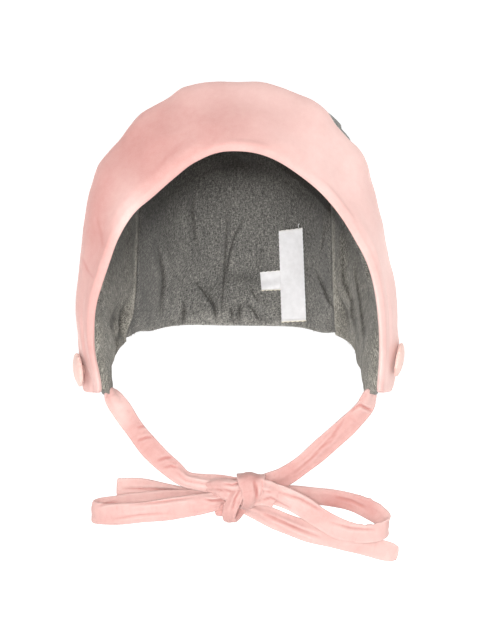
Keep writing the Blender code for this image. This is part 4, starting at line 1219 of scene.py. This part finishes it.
ACROSS, SIDEWAYS, UPRIGHT = np.eye(3)
STRAPS = (
    # node, route, its place, up, base, seed; lighter and darker patches as in BAND_PAINTED_LIGHT;
    # creases as in BAND_CREASE_SHADE, which here also shape the cloth; where the inner edge is
    # puckered
    ("tie_left", TIE_LEFT, tie_place(-1), SIDEWAYS, 0.42, 1.0,
     ((122, 405, 12, 18, 0.45), (150, 440, 12, 14, -0.16), (165, 463, 12, 8, -0.12),
      (200, 484, 22, 8, 0.42)),
     ((0.5, 1.3, ((137, 428), (144, 426), (151, 424))),
      (0.6, 1.3, ((137, 441), (145, 438), (152, 437))),
      (0.6, 1.4, ((157, 461), (165, 458), (173, 457))),
      (0.5, 1.2, ((163, 468), (171, 466), (179, 468))),
      (0.5, 1.5, ((176, 472), (186, 480), (200, 483), (226, 487)))), None),
    ("tie_right", TIE_RIGHT, tie_place(1), SIDEWAYS, 0.38, 2.3,
     ((373, 398, 9, 12, 0.50), (345, 425, 20, 20, -0.05), (298, 470, 16, 12, -0.12)),
     ((0.8, 1.4, ((359, 404), (366, 408), (373, 411))),
      (0.5, 1.3, ((350, 412), (356, 407), (362, 404))),
      (0.5, 1.2, ((294, 474), (312, 458), (332, 436), (345, 418))),
      (0.4, 1.2, ((322, 448), (331, 441), (338, 431)))), None),
    ("bow_loop_left", LOOP_LEFT, bow_place(-1, LOOP_REACH), UPRIGHT, 0.55, 3.1,
     ((150, 508, 60, 12, 0.10), (100, 512, 8, 14, -0.10)),
     ((0.5, 1.3, ((128, 505), (160, 502), (196, 497))),
      (0.8, 1.3, ((204, 499), (212, 501), (223, 500))),
      (0.4, 1.2, ((112, 519), (140, 515), (170, 513))),
      (0.4, 1.2, ((97, 506), (108, 503), (118, 502)))), None),
    ("bow_loop_right", LOOP_RIGHT, bow_place(1, LOOP_REACH), UPRIGHT, 0.70, 4.7,
     ((345, 503, 38, 13, -0.55), (372, 514, 9, 12, -0.35), (300, 503, 20, 10, 0.15),
      (272, 495, 8, 10, -0.15)),
     ((0.5, 1.4, ((276, 491), (300, 499), (322, 511))),
      (0.5, 1.3, ((330, 522), (350, 528), (376, 530))),
      (0.5, 1.3, ((335, 497), (352, 501), (366, 508))),
      (0.4, 1.2, ((270, 499), (280, 503), (292, 509)))), (368, 512, 11, 0.0008, -1)),
    ("bow_tail_left", TAIL_LEFT, bow_place(-1, TAIL_REACH), UPRIGHT, 0.64, 5.9,
     (), ((0.7, 1.3, ((121, 489), (150, 489), (188, 491))),), None),
    ("bow_tail_right", TAIL_RIGHT, bow_place(1, TAIL_REACH), UPRIGHT, 0.76, 7.3,
     ((275, 517, 20, 8, -0.30), (300, 528, 14, 8, -0.15)),
     ((0.9, 1.6, ((262, 513), (280, 521), (300, 530), (322, 538))),
      (0.5, 1.2, ((330, 537), (350, 540), (372, 543)))), None),
)
for node, route, to_place, up, base, seed, patches, creases, pucker in STRAPS:
    keyed = [to_place(*row[:3]) + row[3:] for row in route]
    shape = strap(keyed, up, base, seed, patches, creases, pucker)
    place(joined(node.replace("bow_", "") + "_cloth", [shape], STRAP), node)

# The knot: strands that cross each other, as columns and rows of the view, the distance back in
# millimetres, then turn, width and gather
KNOT_WRAP = (
    (249, 485, 11.0, 0.0, 1.1, 0.5), (250, 477, 8.0, 0.0, 1.28, 0.5),
    (251, 475, 3.0, 0.0, 1.42, 0.5), (251, 479, -1.6, 0.0, 1.42, 0.7),
    (252, 486, -3.2, -4.0, 1.26, 0.8), (252, 494, -3.6, -10.0, 1.02, 0.8),
    (250, 502, -2.2, -14.0, 0.76, 0.6), (246, 507, 2.0, -12.0, 0.66, 0.4),
    (246, 503, 7.0, 0.0, 0.8, 0.3), (248, 492, 10.0, 0.0, 0.9, 0.3),
)
KNOT_UNDER = (
    (247, 482, 3.0, 0.0, 0.62, 0.4), (243, 487, -0.4, 0.0, 0.68, 0.5),
    (237, 495, -2.6, 0.0, 0.72, 0.6), (232, 505, -3.0, 0.0, 0.7, 0.5),
    (229, 514, -2.4, 0.0, 0.66, 0.4), (230, 520, 0.5, 0.0, 0.6, 0.2),
    (235, 516, 4.0, 0.0, 0.55, 0.2), (242, 506, 6.0, 0.0, 0.6, 0.2),
)
KNOT_EAR = (
    (236, 502, 2.0, 0.0, 0.6, 0.2), (229, 507, 0.6, 0.0, 0.62, 0.3),
    (222, 511, 0.0, 0.0, 0.52, 0.3), (216, 513, 0.6, 0.0, 0.26, 0.2),
)
KNOT_STRAND = (
    (208, 487, 5.0, 0.0, 0.6, 0.5), (218, 487, 1.4, 0.0, 0.86, 0.8),
    (228, 490, -0.8, 0.0, 1.02, 0.9), (238, 493, -1.2, 0.0, 1.08, 0.9),
    (248, 494, 1.4, 0.0, 1.05, 0.6), (258, 492, 3.0, 0.0, 0.95, 0.6),
)
KNOT_RIGHT = (
    (244, 496, 2.0, 0.0, 1.0, 0.6), (256, 493, -0.4, 0.0, 1.2, 0.9),
    (266, 493, -0.9, 0.0, 1.25, 0.9), (276, 497, 0.2, 0.0, 1.15, 0.7),
)
KNOT_COUNT = 44


def knot_part(rows, upright, base, seed, wall, patches=(), creases=()):
    keyed = [tuple(from_view(x, y, back * MILLIMETRE)) + tuple(rest) for x, y, back, *rest in rows]
    return strap(keyed, upright, base, seed, patches, creases, wall=wall, count=KNOT_COUNT)


knot = [
    knot_part(KNOT_WRAP, ACROSS, 0.38, 8.1, 0.0024,
              ((264, 490, 4, 16, 0.35), (244, 478, 5, 8, -0.05), (256, 489, 3, 12, -0.15)),
              ((0.9, 1.3, ((254, 480), (256, 488), (257, 498))),
               (0.5, 1.1, ((262, 479), (263, 488), (260, 498))))),
    knot_part(KNOT_UNDER, ACROSS, 0.34, 9.4, 0.0026,
              ((241, 492, 4, 8, 0.20), (229, 512, 4, 8, 0.08)),
              ((0.6, 1.1, ((241, 488), (235, 499), (232, 510))),)),
    knot_part(KNOT_EAR, UPRIGHT, 0.30, 10.2, 0.0022),
    knot_part(KNOT_STRAND, UPRIGHT, 0.56, 11.5, 0.0030, (),
              ((0.8, 1.2, ((222, 484), (232, 485), (241, 483))),
               (0.6, 1.2, ((214, 489), (228, 491), (240, 495))))),
    knot_part(KNOT_RIGHT, UPRIGHT, 0.58, 12.6, 0.0026, (),
              ((0.7, 1.2, ((258, 487), (264, 492), (272, 492))),
               (0.6, 1.2, ((262, 500), (270, 498), (278, 500))))),
]
place(joined("knot_cloth", knot, STRAP), "bow_knot")

# Labels: their corners in the view, clockwise from the upper left
LABEL_WALL = 0.00035
LABEL_COLUMNS = 44
WOVEN_CORNERS = ((278.6, 230.8), (302.4, 227.8), (306.2, 321.2), (281.6, 322.4))
SIZE_CORNERS = ((260.0, 272.0), (282.5, 270.0), (282.5, 290.0), (261.6, 290.8))
LABEL_THREADS = (
    # columns and rows of the view, and the distance behind the label's face
    ((299.5, 229, 0.001), (298.2, 225.5, 0.0), (300.4, 222.5, 0.001), (301.5, 219, 0.001)),
    ((301.5, 229, 0.001), (303.4, 225.5, 0.0), (302.2, 223, 0.0005)),
    ((303, 321, 0.0), (302.2, 324, 0.0), (303.4, 326.4, 0.0)),
)
LABEL_HEM = 0.00030
LABEL_CURL = 0.0007
LABEL_WAVE = 0.00018
STITCH_DEPTH = 0.00012
STITCH_LINES = (0.018, 0.982)
CUT_EDGE = 0.499
THREAD_THICK = 0.00016
THREAD_SIDES = 7
THREAD_STEPS = 5


def lining_depth(x, y):
    """Rays from the eye through columns and rows of the view, and how far off the lining is."""
    tree = BVHTree.FromObject(bpy.data.objects["lining_cloth_crown"],
                              bpy.context.evaluated_depsgraph_get())
    rays = unit(from_view(x, y, 0.1) - EYE)
    found = np.full(x.shape, np.nan)
    for index in np.ndindex(x.shape):
        hit = tree.ray_cast(Vector(EYE - SEAT), Vector(rays[index]))
        if hit[0] is not None:
            found[index] = hit[3]
    return rays, found


def thread(points, thick=THREAD_THICK):
    """A loose sewing thread through a few points."""
    keyed = [(index,) + tuple(point) for index, point in enumerate(points)]
    at = np.linspace(0, len(points) - 1, (len(points) - 1) * THREAD_STEPS + 1)
    centre = np.stack([column(keyed, i, at) for i in (1, 2, 3)], axis=-1)
    tangent = unit(np.gradient(centre, axis=0))
    side = unit(np.cross(tangent, np.array([0.1, 1.0, 0.05])))
    other = np.cross(tangent, side)
    angle = np.linspace(0, 2 * math.pi, THREAD_SIDES, endpoint=False)[None, :, None]
    rings = centre[:, None] + thick * (side[:, None] * np.cos(angle)
                                       + other[:, None] * np.sin(angle))
    return tube(rings, 0.001, "wear_and_painted_light", np.zeros(rings.shape[:2]))


def make_label(name, corners, rows, node, clearance, hem_rows, threads=()):
    """A woven tape with turned ends, sewn down, lying over the lining's unevenness."""
    columns = LABEL_COLUMNS
    down, across = np.meshgrid(np.linspace(0, 1, rows + 1), np.linspace(0, 1, columns + 1),
                               indexing="ij")
    shares = ((1 - down) * (1 - across), (1 - down) * across, down * across, down * (1 - across))
    spot = sum(share[..., None] * np.array(corner) for share, corner in zip(shares, corners))
    ragged = np.sin(across * 31) * 0.25 + np.sin(across * 83 + 1) * 0.15
    spot[..., 1] += ragged * (np.abs(down - 0.5) > CUT_EDGE)
    spot[..., 0] += 0.12 * np.sin(down * 140) * (np.abs(across - 0.5) > CUT_EDGE)
    rays, depth = lining_depth(spot[..., 0], spot[..., 1])
    basis = np.stack([np.ones_like(down), across, down, across * down, across ** 2, down ** 2,
                      down ** 3], axis=-1).reshape(-1, 7)
    known = ~np.isnan(depth.ravel())
    fit = np.linalg.lstsq(basis[known], depth.ravel()[known], rcond=None)[0]
    even = (basis @ fit).reshape(depth.shape)
    lying = even + np.nanmin(depth - even) - clearance
    hem = smooth(0.0, 0.6, 1 - np.minimum(from_ends(down) * rows / hem_rows, 1.0)) * LABEL_HEM
    curl = LABEL_CURL * np.exp(-(1 - across) * 9) * np.exp(-((down - 0.45) / 0.25) ** 2)
    lying = lying - hem - curl - LABEL_WAVE * np.sin(down * 9 + across * 2)
    stitch = np.zeros_like(down)
    for line in STITCH_LINES:
        stitch += np.exp(-((down - line) * rows / 0.9) ** 2) * (np.sin(across * columns * 1.1) > 0)
    front = EYE + rays * (lying - STITCH_DEPTH * stitch)[..., None]
    rear = EYE + rays * (lying + LABEL_WALL + hem)[..., None]
    wear_and_painted_light = np.exp(-(1 - down) * rows / 1.2) * 0.8 + np.exp(-down * rows / 1.2) * 0.25
    surface = float(np.nanmean(front[..., 1]))
    shapes = [sheet(front, rear, (("wear_and_painted_light", wear_and_painted_light),))]
    shapes += [thread([from_view(x, y, surface + back) for x, y, back in line]) for line in threads]
    place(joined(name, shapes, SATIN), node)


make_label("size_label_cloth", SIZE_CORNERS, 44, "size_label", 0.0002, 3.0)
make_label("woven_label_cloth", WOVEN_CORNERS, 150, "woven_label", 0.0007, 5.0,
           LABEL_THREADS)


# Fuzz: short fibres standing out of the neck edge
FIBRES = 260
FIBRE_THICK = 0.00006
FIBRE_SHORT, FIBRE_LONG = 0.0007, 0.0019
FIBRE_ROOT = 0.0004
FIBRE_BEND = 0.35


def make_fuzz():
    rng = np.random.default_rng(7)
    along = rng.uniform(0.05, 0.95, FIBRES)
    around = 1 - rng.uniform(0.0, 0.012, FIBRES)
    roots = hood(along, around) + hang(along, around)
    down = unit(roots - (hood(along, around - 0.03) + hang(along, around - 0.03)))
    fibres = []
    for root, way in zip(roots, down):
        length = rng.uniform(FIBRE_SHORT, FIBRE_LONG)
        bend = rng.normal(0, FIBRE_BEND, (2, 3))
        middle = root + (way + bend[0]) * length * 0.5
        tip = middle + (way + bend[1]) * length * 0.5
        fibres.append(thread([root - way * FIBRE_ROOT, middle, tip], FIBRE_THICK))
    place(joined("neck_fuzz", fibres, FUZZ), slot="lining_crown")


make_fuzz()


# Floor and light
FLOOR_LEVEL = -0.5
FLOOR_REACH = 600.0
FLOOR_GLOW = (0.40, 0.85, 0.75)
SKY_LOW, SKY_HIGH = 1.0, 0.36
LIGHT_TARGET = Vector((0, 0, -0.08))
LIGHTS = (
    # name, place, size, power, colour
    ("key", (0.85, -0.80, 0.90), 0.8, 5.0, (1.0, 0.985, 0.97)),
    ("front", (-0.08, -1.50, 0.12), 0.4, 15.5, (1.0, 0.99, 0.98)),
    ("fill", (-0.95, -0.85, 0.30), 1.0, 2.5, (1.0, 0.985, 0.975)),
    ("rear", (0.10, 1.00, 0.70), 1.0, 6.0, (1.0, 1.0, 1.0)),
)


def make_floor():
    """A pale floor that glows softly from some way off, so that it has no horizon."""
    nodes = Nodes("floor")
    split = nodes.add("SeparateXYZ", {"Vector": nodes.object_at()})
    wide, deep = (nodes.math("MULTIPLY", split.outputs[axis], split.outputs[axis]) for axis in "XY")
    reach = nodes.math("SQRT", nodes.math("ADD", wide, deep))
    start, end, strength = FLOOR_GLOW
    glow = nodes.rise(reach, start, end, interpolation_type="SMOOTHSTEP")
    finish = nodes.finish({
        "Base Color": (0.80, 0.80, 0.80, 1), "Roughness": 0.95, "Emission Color": (1, 1, 1, 1),
        "Emission Strength": nodes.math("MULTIPLY", glow, strength)})
    mesh = bpy.data.meshes.new("floor")
    mesh.from_pydata([(x * FLOOR_REACH, y * FLOOR_REACH, FLOOR_LEVEL)
                      for x, y in ((-1, -1), (1, -1), (1, 1), (-1, 1))], [], [(0, 1, 2, 3)])
    mesh.materials.append(finish)
    floor = new_object("floor", mesh)


def make_sky():
    """Soft white all round near the level of the floor, dimmer overhead."""
    world = bpy.data.worlds.new("studio")
    bpy.context.scene.world = world
    world.use_nodes = True
    tree = world.node_tree
    at, split, level = (tree.nodes.new("ShaderNode" + kind)
                        for kind in ("TexCoord", "SeparateXYZ", "MapRange"))
    level.interpolation_type = "SMOOTHSTEP"
    for name, value in (("From Min", 0.06), ("From Max", 0.50), ("To Min", SKY_LOW),
                        ("To Max", SKY_HIGH)):
        level.inputs[name].default_value = value
    background = tree.nodes["Background"].inputs
    background["Color"].default_value = (1.0, 1.0, 1.0, 1)
    for start, end in ((at.outputs["Generated"], split.inputs[0]),
                       (split.outputs["Z"], level.inputs["Value"]),
                       (level.outputs["Result"], background["Strength"])):
        tree.links.new(start, end)


make_floor()
make_sky()
for name, spot, size, power, colour in LIGHTS:
    data = bpy.data.lights.new(name, "AREA")
    data.shape = "DISK"
    data.size, data.energy, data.color = size, power, colour
    aim(new_object(name, data), spot, LIGHT_TARGET - Vector(spot))
bpy.context.scene.view_settings.view_transform = "Standard"
bpy.context.scene.view_settings.look = "None"
make_camera()
